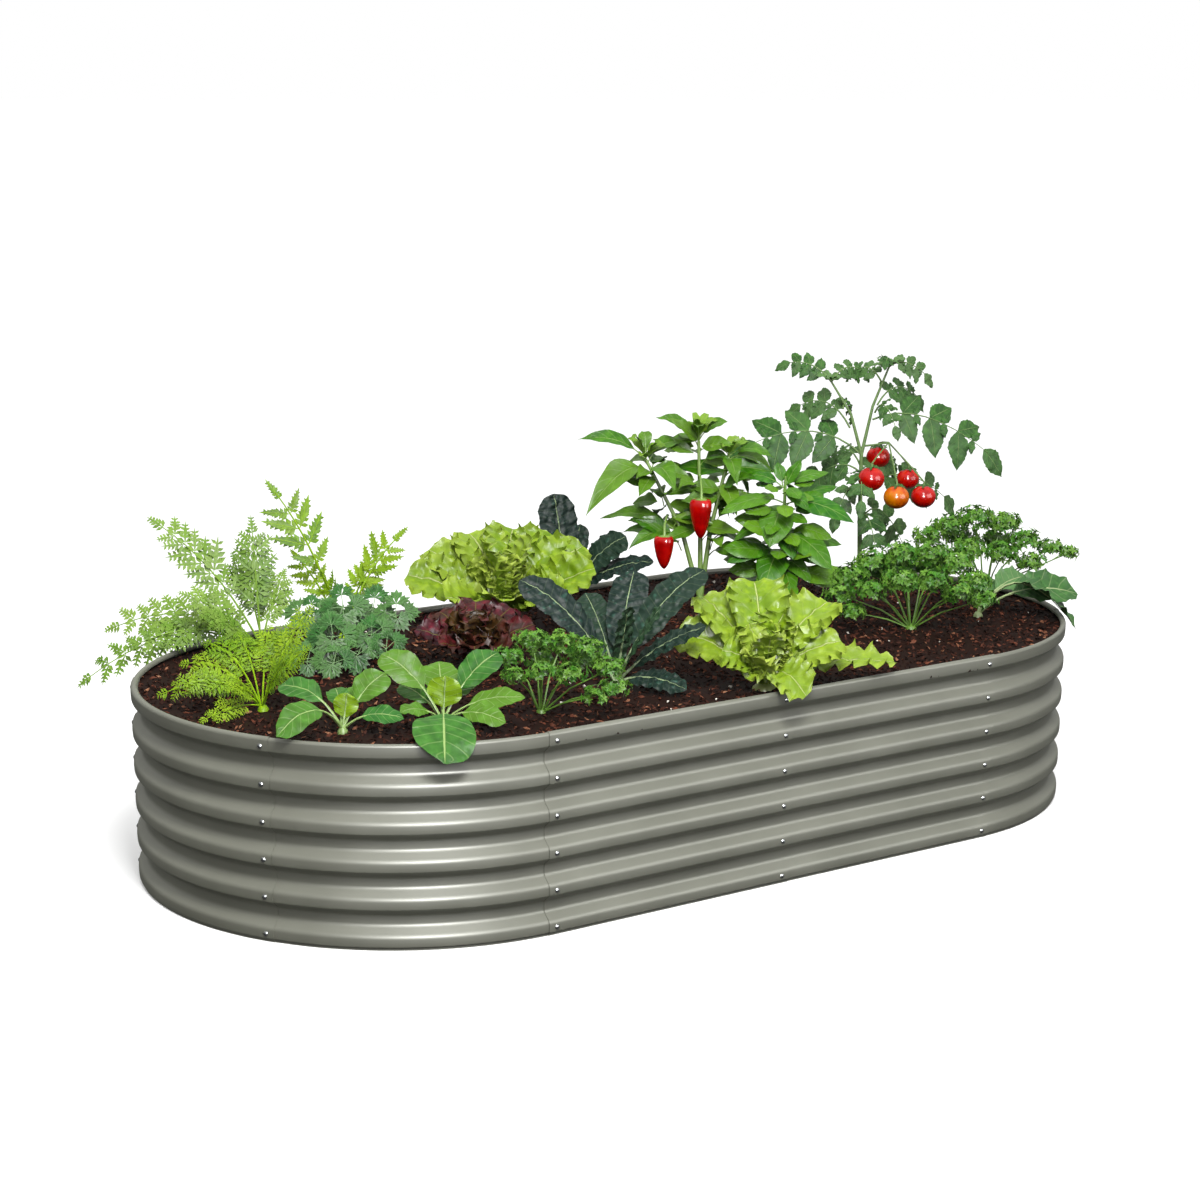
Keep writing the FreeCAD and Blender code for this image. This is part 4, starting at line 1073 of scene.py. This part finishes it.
def addCutLeaf(plant, base, way, facing, size, tint):
    # five wedge lobes round the stalk, each cut again into three
    rng = plant["random"]
    for lobe in (-92, -48, 0, 48, 92):
        middle = Matrix.Rotation(math.radians(lobe + rng.uniform(-5, 5)), 3, facing) @ way
        reach = size * (1.0 - abs(lobe) / 300)
        addFinger(plant, base, middle, facing, reach * 0.95, reach * 0.34, tint, sag=0.1)
        for part in (-26, 26):
            side = Matrix.Rotation(math.radians(part), 3, facing) @ middle
            addFinger(plant, base + middle * (reach * 0.22), side, facing, reach * 0.62,
                      reach * 0.24, tint + 0.08, sag=0.1)
        for part in (-44, 44):
            side = Matrix.Rotation(math.radians(part), 3, facing) @ middle
            addFinger(plant, base + middle * (reach * 0.5), side, facing, reach * 0.32,
                      reach * 0.14, tint + 0.12, sag=0.1)


def growCoriander():
    plant = newPlant(71)
    rng = plant["random"]
    addCrown(plant, coriander["crown"], 12, 0.4)
    for right, away, up, radius in coriander["tufts"]:
        head = Vector((right, away, up))
        flat = Vector((right, away, 0)).normalized()
        addTube(plant, [flat * 4 + Vector((0, 0, 2)),
                        Vector((right * 0.45, away * 0.45, up * 0.72)), head],
                [2.2, 1.8, 1.2], 6, 0.5)
        for leafNumber in range(4):
            angle = leafNumber * 1.57 + rng.uniform(-0.3, 0.3)
            side = Vector((math.cos(angle), math.sin(angle) * 0.6, 0.5 * math.sin(angle)))
            base = head + side * (radius * 0.7) + Vector((0, 0, rng.uniform(-10, 10)))
            facing = (Vector((0, -0.75, 0.5)) + side * 0.35).normalized()
            way = side + Vector((0, 0, rng.uniform(-0.2, 0.4)))
            way = (way - facing * way.dot(facing)).normalized()
            addTube(plant, [head - Vector((0, 0, 8)), base], [1.2, 0.8], 4, 0.4)
            addCutLeaf(plant, base, way, facing, radius * rng.uniform(1.1, 1.6),
                       rng.uniform(0.0, 0.6))
    finishPlant(plant, "coriander", "plant_cilantro", corianderLeaf)


growCoriander()


# curled parsley: dense frilly tufts on pale green stems
parsleyLeaf = leafMaterial({
    "name": "curled parsley leaf", "deep": "#1F5C05", "middle": "#3B7F12",
    "light": "#679E38", "young": "#86AE40", "rib": "#6A9437", "ribWidth": 0.05, "veins": 3.0,
    "veinSlant": 1.5, "veinShow": 0.1, "blisterMm": 5.0, "blisterShading": 0.3,
    "blisterDepth": 0.5, "rough": 0.48, "reliefMm": 1.0, "gloss": 0.05})
parsleyFront = {
    "crown": 22, "leaflet": 11,
    "tufts": [(-66, 10, 122, 30), (-18, 30, 150, 34), (44, 40, 144, 36), (100, 30, 130, 34),
              (146, -6, 98, 32), (156, -40, 62, 28), (60, -50, 98, 32), (2, 84, 100, 32),
              (84, 90, 96, 30), (-56, -40, 90, 26), (112, -64, 52, 26), (0, -60, 104, 28)],
}
parsleyMiddle = {
    "crown": 30, "leaflet": 13,
    "tufts": [(-176, 0, 86, 34), (-146, 40, 124, 40), (-88, 60, 154, 42), (-20, 60, 174, 44),
              (50, 50, 176, 42), (108, 40, 154, 42), (154, 10, 116, 38), (168, -24, 78, 32),
              (-108, -50, 104, 36), (-40, -66, 134, 38), (38, -74, 134, 38),
              (104, -60, 98, 34), (-70, 120, 130, 40), (0, 136, 134, 38), (70, 120, 130, 40),
              (-150, -44, 52, 26)],
}
parsleyBack = {
    "crown": 28, "leaflet": 13,
    "tufts": [(-146, 30, 158, 38), (-100, 20, 192, 36), (-30, 40, 206, 42), (40, 40, 194, 42),
              (98, 10, 154, 38), (166, 10, 136, 26), (208, -10, 126, 22), (-60, -60, 142, 40),
              (28, -64, 134, 40), (106, -50, 108, 32), (-118, -66, 104, 34),
              (-50, 100, 150, 36), (40, 104, 140, 36)],
}


def growParsley(data, name, node, seed):
    plant = newPlant(seed)
    rng = plant["random"]
    addCrown(plant, data["crown"], 12, 0.6)
    for right, away, up, radius in data["tufts"]:
        head = Vector((right, away, up))
        flat = Vector((right, away, 0)).normalized()
        fork = Vector((right * 0.8, away * 0.8, up * 0.84))
        addTube(plant, [flat * 4 + Vector((0, 0, 2)),
                        Vector((right * 0.42, away * 0.42, up * 0.55)), fork],
                [2.4, 2.1, 1.6], 6, 0.9)
        for branch in range(5):
            angle = 1.257 * branch + rng.uniform(-0.4, 0.4)
            lean = Vector((math.cos(angle), math.sin(angle), rng.uniform(0.1, 0.7)))
            addTube(plant, [fork, head + lean * (radius * 0.5)], [1.2, 0.8], 4, 0.7)
        leaflets = int(62 * (radius / 34) ** 2)
        for at in range(leaflets):
            height = rng.uniform(-0.55, 1.0)
            angle = 2.4 * at + rng.uniform(-0.3, 0.3)
            ring = math.sqrt(max(1 - height * height, 0.0))
            out = Vector((ring * math.cos(angle), ring * math.sin(angle), height))
            base = head + Vector((out.x, out.y, out.z * 0.62)) * (radius * rng.uniform(0.45, 1.3))
            turn = out.orthogonal().normalized()
            turn = Matrix.Rotation(rng.uniform(0, 6.28), 3, out) @ turn
            tint = rng.uniform(0.0, 0.55)
            for finger in range(5):
                way = Matrix.Rotation(finger * 1.257, 3, out) @ turn
                way = (way + out * rng.uniform(0.25, 0.9)).normalized()
                face = (out - way * out.dot(way))
                face = face.normalized() if face.length > 0.05 else turn
                size = data["leaflet"] * rng.uniform(0.75, 1.2)
                addFinger(plant, base, way, face, size, size * 0.5, tint, sag=0.3)
    finishPlant(plant, name, node, parsleyLeaf)


growParsley(parsleyFront, "parsley_front", "plant_parsley_front", 81)
growParsley(parsleyMiddle, "parsley_middle", "plant_parsley_middle", 82)
growParsley(parsleyBack, "parsley_back", "plant_parsley_back", 83)


# pepper plant: smooth shiny pointed leaves on forked stems
pepperLeaf = leafMaterial({
    "name": "pepper leaf", "deep": "#285E00", "middle": "#417903", "light": "#669432",
    "young": "#7A9E2E", "rib": "#7E9E4D", "ribWidth": 0.025, "veins": 6.0, "veinSlant": 2.6,
    "veinShow": 0.28, "blisterMm": 20.0, "blisterShading": 0.4, "blisterDepth": 0.3,
    "rough": 0.4, "reliefMm": 1.6, "gloss": 0.1})
pepperShape = dict(plainShape, rows=20, columns=10, ruffle=2.5, waves=1.6, fold=14.0,
                   pucker=1.2,
                   outline=[(0, 0.05), (0.12, 0.5), (0.3, 0.94), (0.45, 1.0), (0.68, 0.7),
                            (0.86, 0.32), (1, 0.01)])
pepper = {
    "crown": 26,
    "forks": {"left": (-146, 10, 366), "middle": (-10, 20, 412), "right": (68, 20, 372)},
    "leaves": [
        ("left", 1.0, (-321, 0, 418), 52, 440), ("left", 0.9, (-300, -60, 231), 80, 392),
        ("left", 1.0, (-150, 40, 431), 36, 440), ("left", 0.97, (-48, 40, 398), 46, 430),
        ("left", 0.95, (-198, 70, 330), 50, 385), ("left", 0.9, (-74, -96, 300), 60, 384),
        ("left", 0.9, (-100, 120, 340), 56, 390), ("left", 0.5, (-263, 40, 206), 46, 250),
        ("left", 0.45, (-190, -40, 140), 50, 210), ("left", 0.4, (-206, 90, 160), 50, 200),
        ("middle", 1.0, (-121, 10, 473), 46, 470), ("middle", 1.0, (63, 10, 461), 50, 466),
        ("middle", 1.0, (-19, -50, 455), 36, 470), ("middle", 0.95, (-50, 130, 400), 60, 440),
        ("middle", 0.7, (79, 90, 198), 56, 320), ("right", 1.0, (188, 20, 365), 40, 415),
        ("right", 0.97, (196, 60, 316), 52, 400), ("right", 0.95, (84, -70, 310), 48, 395),
        ("right", 0.85, (128, 90, 262), 56, 356), ("right", 0.3, (104, -70, 100), 50, 170),
        ("right", 0.4, (120, 60, 120), 56, 200)],
    "fruits": [(-6, -60, 272, 30, 100, "middle", 0.78), (-99, -64, 178, 27, 84, "left", 0.58)],
}


def growPepper():
    plant = newPlant(91)
    rng = plant["random"]
    addCrown(plant, pepper["crown"], 12, 0.3)
    for fork in pepper["forks"].values():
        end = Vector(fork)
        bow = Vector((end.x * 0.35, end.y * 0.35, end.z * 0.5))
        addTube(plant, [Vector((0, 0, 2)), bow, end], [7.5, 5.8, 4.0], 8, 0.1)
    for fork, share, tip, width, arch in pepper["leaves"]:
        joint = Vector((0, 0, 6)).lerp(Vector(pepper["forks"][fork]), share)
        addLeaf(plant, joint, tip, arch, width, pepperShape, tint=rng.uniform(0.0, 0.4),
                stalk=0.2, stalkRadius=1.8)
    for name, fork in pepper["forks"].items():
        for at in range(7):
            angle = 0.9 * at + rng.uniform(-0.2, 0.2)
            reach = rng.uniform(34, 66)
            end = Vector(fork) + Vector((reach * math.cos(angle), reach * math.sin(angle),
                                         rng.uniform(10, 66)))
            addLeaf(plant, fork, end, end.z + 10, rng.uniform(20, 34), pepperShape,
                    tint=rng.uniform(0.5, 1.0), stalk=0.1, stalkRadius=1.0)
        for at in range(4):
            share = 0.35 + 0.16 * at
            joint = Vector((0, 0, 2)).lerp(Vector(fork), share)
            angle = 2.1 * at + len(name)
            end = joint + Vector((80 * math.cos(angle), 80 * math.sin(angle), 20))
            addLeaf(plant, joint, end, joint.z + 60, rng.uniform(34, 48), pepperShape,
                    tint=rng.uniform(0.0, 0.5), stalk=0.25, stalkRadius=1.4)
    for at in range(44):
        fork = Vector(list(pepper["forks"].values())[at % 3])
        share = rng.uniform(0.42, 1.0)
        joint = Vector((0, 0, 2)).lerp(fork, share)
        angle = 2.4 * at
        out = Vector((math.cos(angle), math.sin(angle) * 0.8 + 0.35, rng.uniform(-0.2, 0.5)))
        addLeaflet(plant, joint + out * 14, out, Vector((0, -0.7, 0.6)), rng.uniform(80, 128),
                   rng.uniform(36, 52), pepperShape, rng.uniform(0.0, 0.6), sag=0.22)
    for right, away, up, radius, length, fork, share in pepper["fruits"]:
        joint = Vector((0, 0, 2)).lerp(Vector(pepper["forks"][fork]), share)
        top = Vector((right, away, up + 30))
        addTube(plant, [joint, joint.lerp(top, 0.5) + Vector((0, 0, 14)), top,
                        Vector((right, away, up + 8)), Vector((right, away, up - 2))],
                [2.6, 2.8, 3.2, 4.2, 7.0], 8, 0.3)
        addTube(plant, [Vector((right, away, up + 4)), Vector((right, away, up + 1)),
                        Vector((right, away, up - 3))], [8, 16, 19], 12, 0.3)
    finishPlant(plant, "pepper_plant", "plant_pepper", pepperLeaf)


growPepper()


# fruit skin: thin waxy cuticle over wet flesh, so a sharp clear gloss
def fruitSkin(name, deep, middle, light, streakMm):
    material, tree = newMaterial(name)
    place = addNode(tree, "TexCoord").outputs["Object"]
    cloud = addNode(tree, "TexNoise", {"Scale": 1 / (streakMm * mm), "Detail": 3.0},
                    {"Vector": place})
    colour = addNode(tree, "ValToRGB", {"stops": [(0.3, deep), (0.52, middle), (0.75, light)]},
                     {"Fac": cloud.outputs["Fac"]})
    rough = addNode(tree, "MapRange", {"To Min": 0.16, "To Max": 0.28},
                    {"Value": cloud.outputs["Fac"]})
    shader = addNode(tree, "BsdfPrincipled", {"IOR": 1.45, "Specular IOR Level": 0.3,
                                              "Coat Weight": 0.25, "Coat Roughness": 0.08},
                     {"Base Color": colour.outputs["Color"], "Roughness": rough.outputs[0]})
    addNode(tree, "OutputMaterial", links={"Surface": shader.outputs[0]})
    return material


def finishFruits(bm, name, node, plantName, material):
    bm.transform(plantPlace(plantName))
    bmesh.ops.remove_doubles(bm, verts=bm.verts, dist=0.00002)
    bmesh.ops.recalc_face_normals(bm, faces=bm.faces)
    piece = meshObject(name, bm)
    smooth(piece, 60)
    piece.data.materials.append(material)
    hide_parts(node)
    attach(piece, "root")


def addRound(bm, centre, rings, sides, lobes, depth):
    # a turned fruit body with shallow lobes, through (radius, height) rings
    loops = []
    for radius, height in rings:
        loop = []
        for step in range(sides):
            angle = 2 * math.pi * step / sides
            reach = radius * (1 - depth * (0.5 + 0.5 * math.cos(lobes * angle)))
            loop.append(bm.verts.new(centre + Vector((reach * math.cos(angle),
                                                      reach * math.sin(angle), height))))
        loops.append(loop)
    for low, high in zip(loops, loops[1:]):
        for step in range(sides):
            after = (step + 1) % sides
            bm.faces.new((low[step], low[after], high[after], high[step]))
    bm.faces.new(loops[0])
    bm.faces.new(loops[-1])


def growPeppers():
    bm = bmesh.new()
    profile = [(0.03, 0.0), (0.3, -0.01), (0.62, 0.015), (0.85, 0.0), (0.98, -0.07),
               (1.0, -0.17), (0.95, -0.3), (0.86, -0.45), (0.75, -0.6), (0.6, -0.74),
               (0.43, -0.86), (0.26, -0.94), (0.1, -0.985), (0.01, -0.995)]
    for right, away, up, radius, length, fork, share in pepper["fruits"]:
        addRound(bm, Vector((right, away, up)),
                 [(radius * out, length * rise) for out, rise in profile], 36, 3, 0.1)
    finishFruits(bm, "pepper_fruits", "peppers", "pepper_plant",
                 fruitSkin("red pepper skin", "#9A0000", "#BC0000", "#CE0E00", 26))


growPeppers()


# basil: cupped shiny leaves in pairs up one stem
basilLeaf = leafMaterial({
    "name": "basil leaf", "deep": "#1D5E00", "middle": "#387705", "light": "#629433",
    "young": "#749E1F", "rib": "#749B44", "ribWidth": 0.025, "veins": 6.0, "veinSlant": 2.8,
    "veinShow": 0.3, "blisterMm": 16.0, "blisterShading": 0.4, "blisterDepth": 1.2,
    "rough": 0.36, "reliefMm": 2.0, "gloss": 0.12})
basilShape = dict(plainShape, rows=20, columns=12, ruffle=1.6, waves=1.5, fold=6.0, cup=-0.22,
                  pucker=2.2, puckerMm=16.0,
                  outline=[(0, 0.08), (0.12, 0.6), (0.32, 0.96), (0.5, 1.0), (0.74, 0.78),
                           (0.9, 0.42), (1, 0.02)])
basil = {
    "crown": 26,
    "leaves": [
        (235, (-39, -96, 163), 88, 262), (262, (-164, -60, 243), 50, 300),
        (255, (176, -70, 222), 66, 292), (172, (120, -104, 106), 78, 208),
        (125, (-51, -106, 57), 84, 160), (130, (-144, -60, 116), 56, 170),
        (200, (-125, -30, 169), 50, 240), (300, (121, 40, 333), 38, 338),
        (290, (45, 10, 369), 38, 335), (300, (-14, 20, 362), 32, 340),
        (300, (-94, 40, 326), 40, 338), (245, (149, 80, 290), 44, 295),
        (105, (70, -70, 66), 50, 136), (78, (20, -100, 40), 56, 112),
        (225, (-116, 66, 200), 50, 262), (285, (60, -64, 250), 44, 312),
        (180, (22, -84, 130), 56, 206), (140, (-40, 116, 130), 76, 180),
        (160, (90, 110, 144), 76, 202), (215, (10, 120, 226), 70, 262),
        (150, (156, 10, 150), 60, 196), (110, (10, 124, 92), 76, 150)],
}


def growBasil():
    plant = newPlant(95)
    rng = plant["random"]
    addCrown(plant, basil["crown"], 12, 0.3)
    addTube(plant, [Vector((0, 0, 2)), Vector((4, 2, 160)), Vector((6, 0, 330))],
            [7, 5.4, 3.5], 8, 0.2)
    for height, tip, width, arch in basil["leaves"]:
        addLeaf(plant, (0, 0, height), tip, arch, width, basilShape,
                tint=rng.uniform(0.0, 0.35), stalk=0.2, stalkRadius=1.8)
    for at in range(46):
        height = 60 + 5.6 * at
        angle = 2.4 * at
        reach = rng.uniform(78, 108) * (1.1 - 0.55 * at / 46)
        out = Vector((math.cos(angle), math.sin(angle) * 0.85, rng.uniform(-0.15, 0.45)))
        away = 0.35 if out.y > 0 else 0.75
        addLeaflet(plant, Vector((0, 0, height)) + out * (reach * 0.55), out,
                   Vector((out.x * 0.3, -away, 0.7)), reach, reach * rng.uniform(0.5, 0.66),
                   basilShape, rng.uniform(0.1, 0.7), sag=0.3)
    finishPlant(plant, "basil", "plant_basil", basilLeaf)


growBasil()


# tomato: matt hairy leaves in toothed leaflets, with a truss of fruit
tomatoLeaf = leafMaterial({
    "name": "tomato leaf", "deep": "#1D4A10", "middle": "#376A20", "light": "#628A40",
    "young": "#6E8F58", "rib": "#6B884E", "ribWidth": 0.03, "veins": 5.0, "veinSlant": 2.4,
    "veinShow": 0.3, "blisterMm": 14.0, "blisterShading": 0.5, "blisterDepth": 1.3,
    "rough": 0.6, "reliefMm": 1.8, "gloss": 0.0})
tomatoShape = dict(plainShape, rows=24, columns=6, ruffle=2.4, waves=2.0, fold=8.0, teeth=8,
                   toothDepth=0.13, cup=-0.12, pucker=2.0,
                   outline=[(0, 0.1), (0.1, 0.56), (0.25, 0.9), (0.42, 1.0), (0.6, 0.86),
                            (0.8, 0.52), (0.93, 0.2), (1, 0.02)])
tomatoForks = {"fork": (-8, 0, 350), "left": (-92, 10, 540), "right": (58, 10, 580)}
tomato = {
    "crown": 22, "truss": (60, -20, 385),
    "leaves": [("left", (-204, 30, 588), 110, 600), ("left", (-2, 60, 560), 90, 600),
               ("right", (158, 30, 556), 100, 610), ("right", (40, -60, 602), 56, 620),
               ((18.4, 4, 442), (330, 20, 352), 150, 500),
               ("fork", (-300, -10, 380), 150, 460),
               ((-5.6, 0, 245.6), (246, 130, 210), 120, 350),
               ((-4, 0, 176), (124, 60, 92), 110, 260),
               ((-4, 0, 176), (30, -100, 92), 96, 240),
               ((-5.6, 0, 245.6), (-78, -60, 190), 110, 320),
               ((-7.2, 0, 315.2), (-84, 116, 312), 92, 400)],
    "more": [((-40, 4, 420), (-170, 70, 470), 110, 520), ((30, 6, 480), (150, 90, 490), 110, 560),
             ((-60, 6, 470), (-30, 60, 440), 90, 520), ((44, 8, 530), (-30, 80, 560), 90, 600),
             ((-7, 0, 300), (-150, 60, 250), 110, 360), ((-6, 0, 262), (110, 110, 300), 110, 380),
             ((24, 5, 460), (70, -70, 430), 84, 520), ((-7, 0, 280), (-20, -120, 240), 90, 360)],
    "red": [(12, -64, 296, 35), (44, 52, 336, 32), (154, -44, 246, 33), (118, 2, 286, 30)],
    "orange": [(76, -90, 252, 34)],
}


def addCompound(plant, start, tip, arch, width, tint):
    # a tomato leaf: three pairs of toothed leaflets and one at the end
    rng = plant["random"]
    start, tip = Vector(start), Vector(tip)
    shares = [at / 8 for at in range(9)]
    addTube(plant, [archFrame(start, tip, arch, s)[0] for s in shares],
            [2.8 - 2.0 * s for s in shares], 6, 0.2)
    length = (tip - start).length
    for pair in range(4):
        share = (0.3, 0.54, 0.77, 0.97)[pair]
        point, along, across, up = archFrame(start, tip, arch, share)
        facing = up * 0.35 + Vector((0, -0.8, 0.35))
        facing = (facing - along * facing.dot(along)).normalized()
        across = facing.cross(along)
        size = min(width * 0.66, length * 0.4) * (0.85, 1.0, 0.95, 1.05)[pair]
        sides = (-1, 1) if pair < 3 else (0,)
        for side in sides:
            way = across * side * 0.9 + along * (0.5 if side else 1.0) + Vector((0, 0, -0.3))
            reach = size * rng.uniform(0.9, 1.1)
            addLeaflet(plant, point, way, facing, reach, reach * 0.64, tomatoShape,
                       tint + rng.uniform(0, 0.2), sag=0.2)
            if side:
                spot = archFrame(start, tip, arch, share + 0.11)[0]
                addLeaflet(plant, spot, across * side + along * 0.4, facing, size * 0.4,
                           size * 0.24, tomatoShape, tint)


def growTomato():
    plant = newPlant(97)
    rng = plant["random"]
    addCrown(plant, tomato["crown"], 12, 0.2)
    fork = Vector(tomatoForks["fork"])
    addTube(plant, [Vector((0, 0, 2)), Vector((-6, 2, 180)), fork], [7.0, 6.2, 5.2], 8, 0.1)
    for name in ("left", "right"):
        end = Vector(tomatoForks[name])
        bow = fork.lerp(end, 0.5) + Vector((-end.x * 0.12, 0, 12))
        addTube(plant, [fork, bow, end], [4.8, 3.8, 2.6], 8, 0.2)
    truss = Vector(tomato["truss"])
    addTube(plant, [Vector((-1.4, 1, 373)), truss.lerp(fork, 0.5) + Vector((0, 0, 10)), truss],
            [3.0, 2.8, 2.4], 6, 0.3)
    for start, tip, width, arch in tomato["leaves"] + tomato["more"]:
        base = tomatoForks[start] if isinstance(start, str) else start
        addCompound(plant, base, tip, arch, width, rng.uniform(0.0, 0.35))
    for name in ("left", "right"):
        top = Vector(tomatoForks[name])
        for at in range(6):
            angle = 1.05 * at + rng.uniform(-0.2, 0.2)
            end = top + Vector((44 * math.cos(angle), 44 * math.sin(angle),
                                rng.uniform(0, 26)))
            addLeaf(plant, top, end, end.z + 12, rng.uniform(16, 26), tomatoShape,
                    tint=rng.uniform(0.3, 0.8), stalk=0.12, stalkRadius=0.8)
    for right, away, up, radius in tomato["red"] + tomato["orange"]:
        cap = Vector((right, away, up + radius * 0.86))
        addTube(plant, [truss, truss.lerp(cap, 0.6) + Vector((0, 0, 8)),
                        cap + Vector((0, 0, 10)), cap], [2.2, 2.0, 2.2, 3.4], 6, 0.3)
        for at in range(5):
            angle = 1.257 * at + right
            out = Vector((math.cos(angle), math.sin(angle), 0))
            end = cap + out * radius * 0.74 + Vector((0, 0, -radius * 0.1))
            addLeaf(plant, cap, end, cap.z + 6, 7.0, plainShape, tint=0.2, stalk=0.02,
                    stalkRadius=0)
    finishPlant(plant, "tomato_plant", "plant_tomato", tomatoLeaf)


growTomato()


def growTomatoes(fruits, name, node, material):
    bm = bmesh.new()
    for right, away, up, radius in fruits:
        rings = [(0.02 * radius, 0.80 * radius)]
        for step in range(1, 16):
            angle = math.radians(78 - 10.6 * step)
            rings.append((radius * math.cos(angle), radius * 0.9 * math.sin(angle)))
        rings.append((0.02 * radius, -0.9 * radius))
        addRound(bm, Vector((right, away, up)), rings, 36, 5, 0.03)
    finishFruits(bm, name, node, "tomato_plant", material)


growTomatoes(tomato["red"], "tomatoes_red_fruit", "tomatoes_red",
             fruitSkin("ripe tomato skin", "#A20000", "#BE0400", "#CC2A00", 30))
growTomatoes(tomato["orange"], "tomato_orange_fruit", "tomato_orange",
             fruitSkin("half ripe tomato skin", "#C24400", "#D06600", "#D88400", 24))
print("plants done")


# floor, light and camera
def palePaper():
    material, tree = newMaterial("pale studio paper")
    place = addNode(tree, "TexCoord").outputs["Object"]
    cloud = addNode(tree, "TexNoise", {"Scale": 0.6, "Detail": 2.0}, {"Vector": place})
    colour = addNode(tree, "ValToRGB", {"stops": [(0.3, "#FDFDFC"), (0.7, "#FFFFFF")]},
                     {"Fac": cloud.outputs["Fac"]})
    shader = addNode(tree, "BsdfPrincipled", {"Roughness": 0.9, "Specular IOR Level": 0.1},
                     {"Base Color": colour.outputs["Color"]})
    addNode(tree, "OutputMaterial", links={"Surface": shader.outputs[0]})
    return material


bpy.ops.object.select_all(action="DESELECT")
bpy.ops.mesh.primitive_plane_add(size=400, location=(0, 0, 0))
floor = bpy.context.object
floor.name = "studio_floor"
floor.data.materials.append(palePaper())
floor.visible_diffuse = False    # the floor throws no light up into the valleys
floor.visible_glossy = False

studio = {
    "world": 1.0,
    "tentFoot": -0.15,     # height at which the tent begins to brighten, as a direction
    "tentLow": 0.12,
    "tentHigh": 1.5,
    "lamps": {
        "sheenLeft": {"at": (-2.5, -4.8, 2.25), "size": 1.6, "watts": 1100, "sheen": True},
        "sheenRight": {"at": (2.4, -4.6, 1.9), "size": 3.2, "watts": 260, "sheen": True},
        "key": {"at": (-1.6, -3.2, 4.4), "size": 1.6, "watts": 260, "sheen": False},
    },
}
world = bpy.data.worlds.new("studio")
bpy.context.scene.world = world
world.use_nodes = True
tree = world.node_tree
tree.nodes["Background"].inputs["Color"].default_value = (1, 1, 1, 1)
# a white tent that is brightest overhead and dims towards the floor; seen directly it is plain
height = addNode(tree, "SeparateXYZ",
                 links={"Vector": addNode(tree, "TexCoord").outputs["Generated"]})
tent = addNode(tree, "MapRange", {"From Min": studio["tentFoot"], "From Max": 1.0,
                                  "To Min": studio["tentLow"],
                                  "To Max": studio["tentHigh"]},
               {"Value": height.outputs["Z"]})
seen = addNode(tree, "LightPath").outputs["Is Camera Ray"]
power = addNode(tree, "Mix", {"data_type": "FLOAT", 3: studio["world"]},
                {0: seen, 2: tent.outputs[0]})
tree.links.new(power.outputs[0], tree.nodes["Background"].inputs["Strength"])
for name, lamp in studio["lamps"].items():
    light = bpy.data.lights.new(name, "AREA")
    light.size = lamp["size"]
    light.energy = lamp["watts"]
    holder = bpy.data.objects.new(name, light)
    bpy.context.scene.collection.objects.link(holder)
    holder.location = lamp["at"]
    holder.visible_diffuse = not lamp["sheen"]    # the sheen lamps only show as highlights
    aim = Vector((0, 0, 0.3)) - Vector(lamp["at"])
    holder.rotation_euler = aim.to_track_quat("-Z", "Y").to_euler()

view = {
    "at": (-3.370315, -4.626391, 1.732069),
    "back": (-0.539395, -0.795487, 0.276141),
    "lens": 73.641,
    "shift": (0.04773, 0.15266),
}
camera = bpy.data.objects.new("camera", bpy.data.cameras.new("camera"))
bpy.context.scene.collection.objects.link(camera)
camera.location = view["at"]
camera.rotation_mode = "QUATERNION"
camera.rotation_quaternion = (-Vector(view["back"])).to_track_quat("-Z", "Y")
camera.data.sensor_width = 36
camera.data.lens = view["lens"]
camera.data.shift_x, camera.data.shift_y = view["shift"]
camera.data.clip_end = 200
bpy.context.scene.camera = camera
bpy.context.scene.view_settings.view_transform = "Standard"
print("studio done")
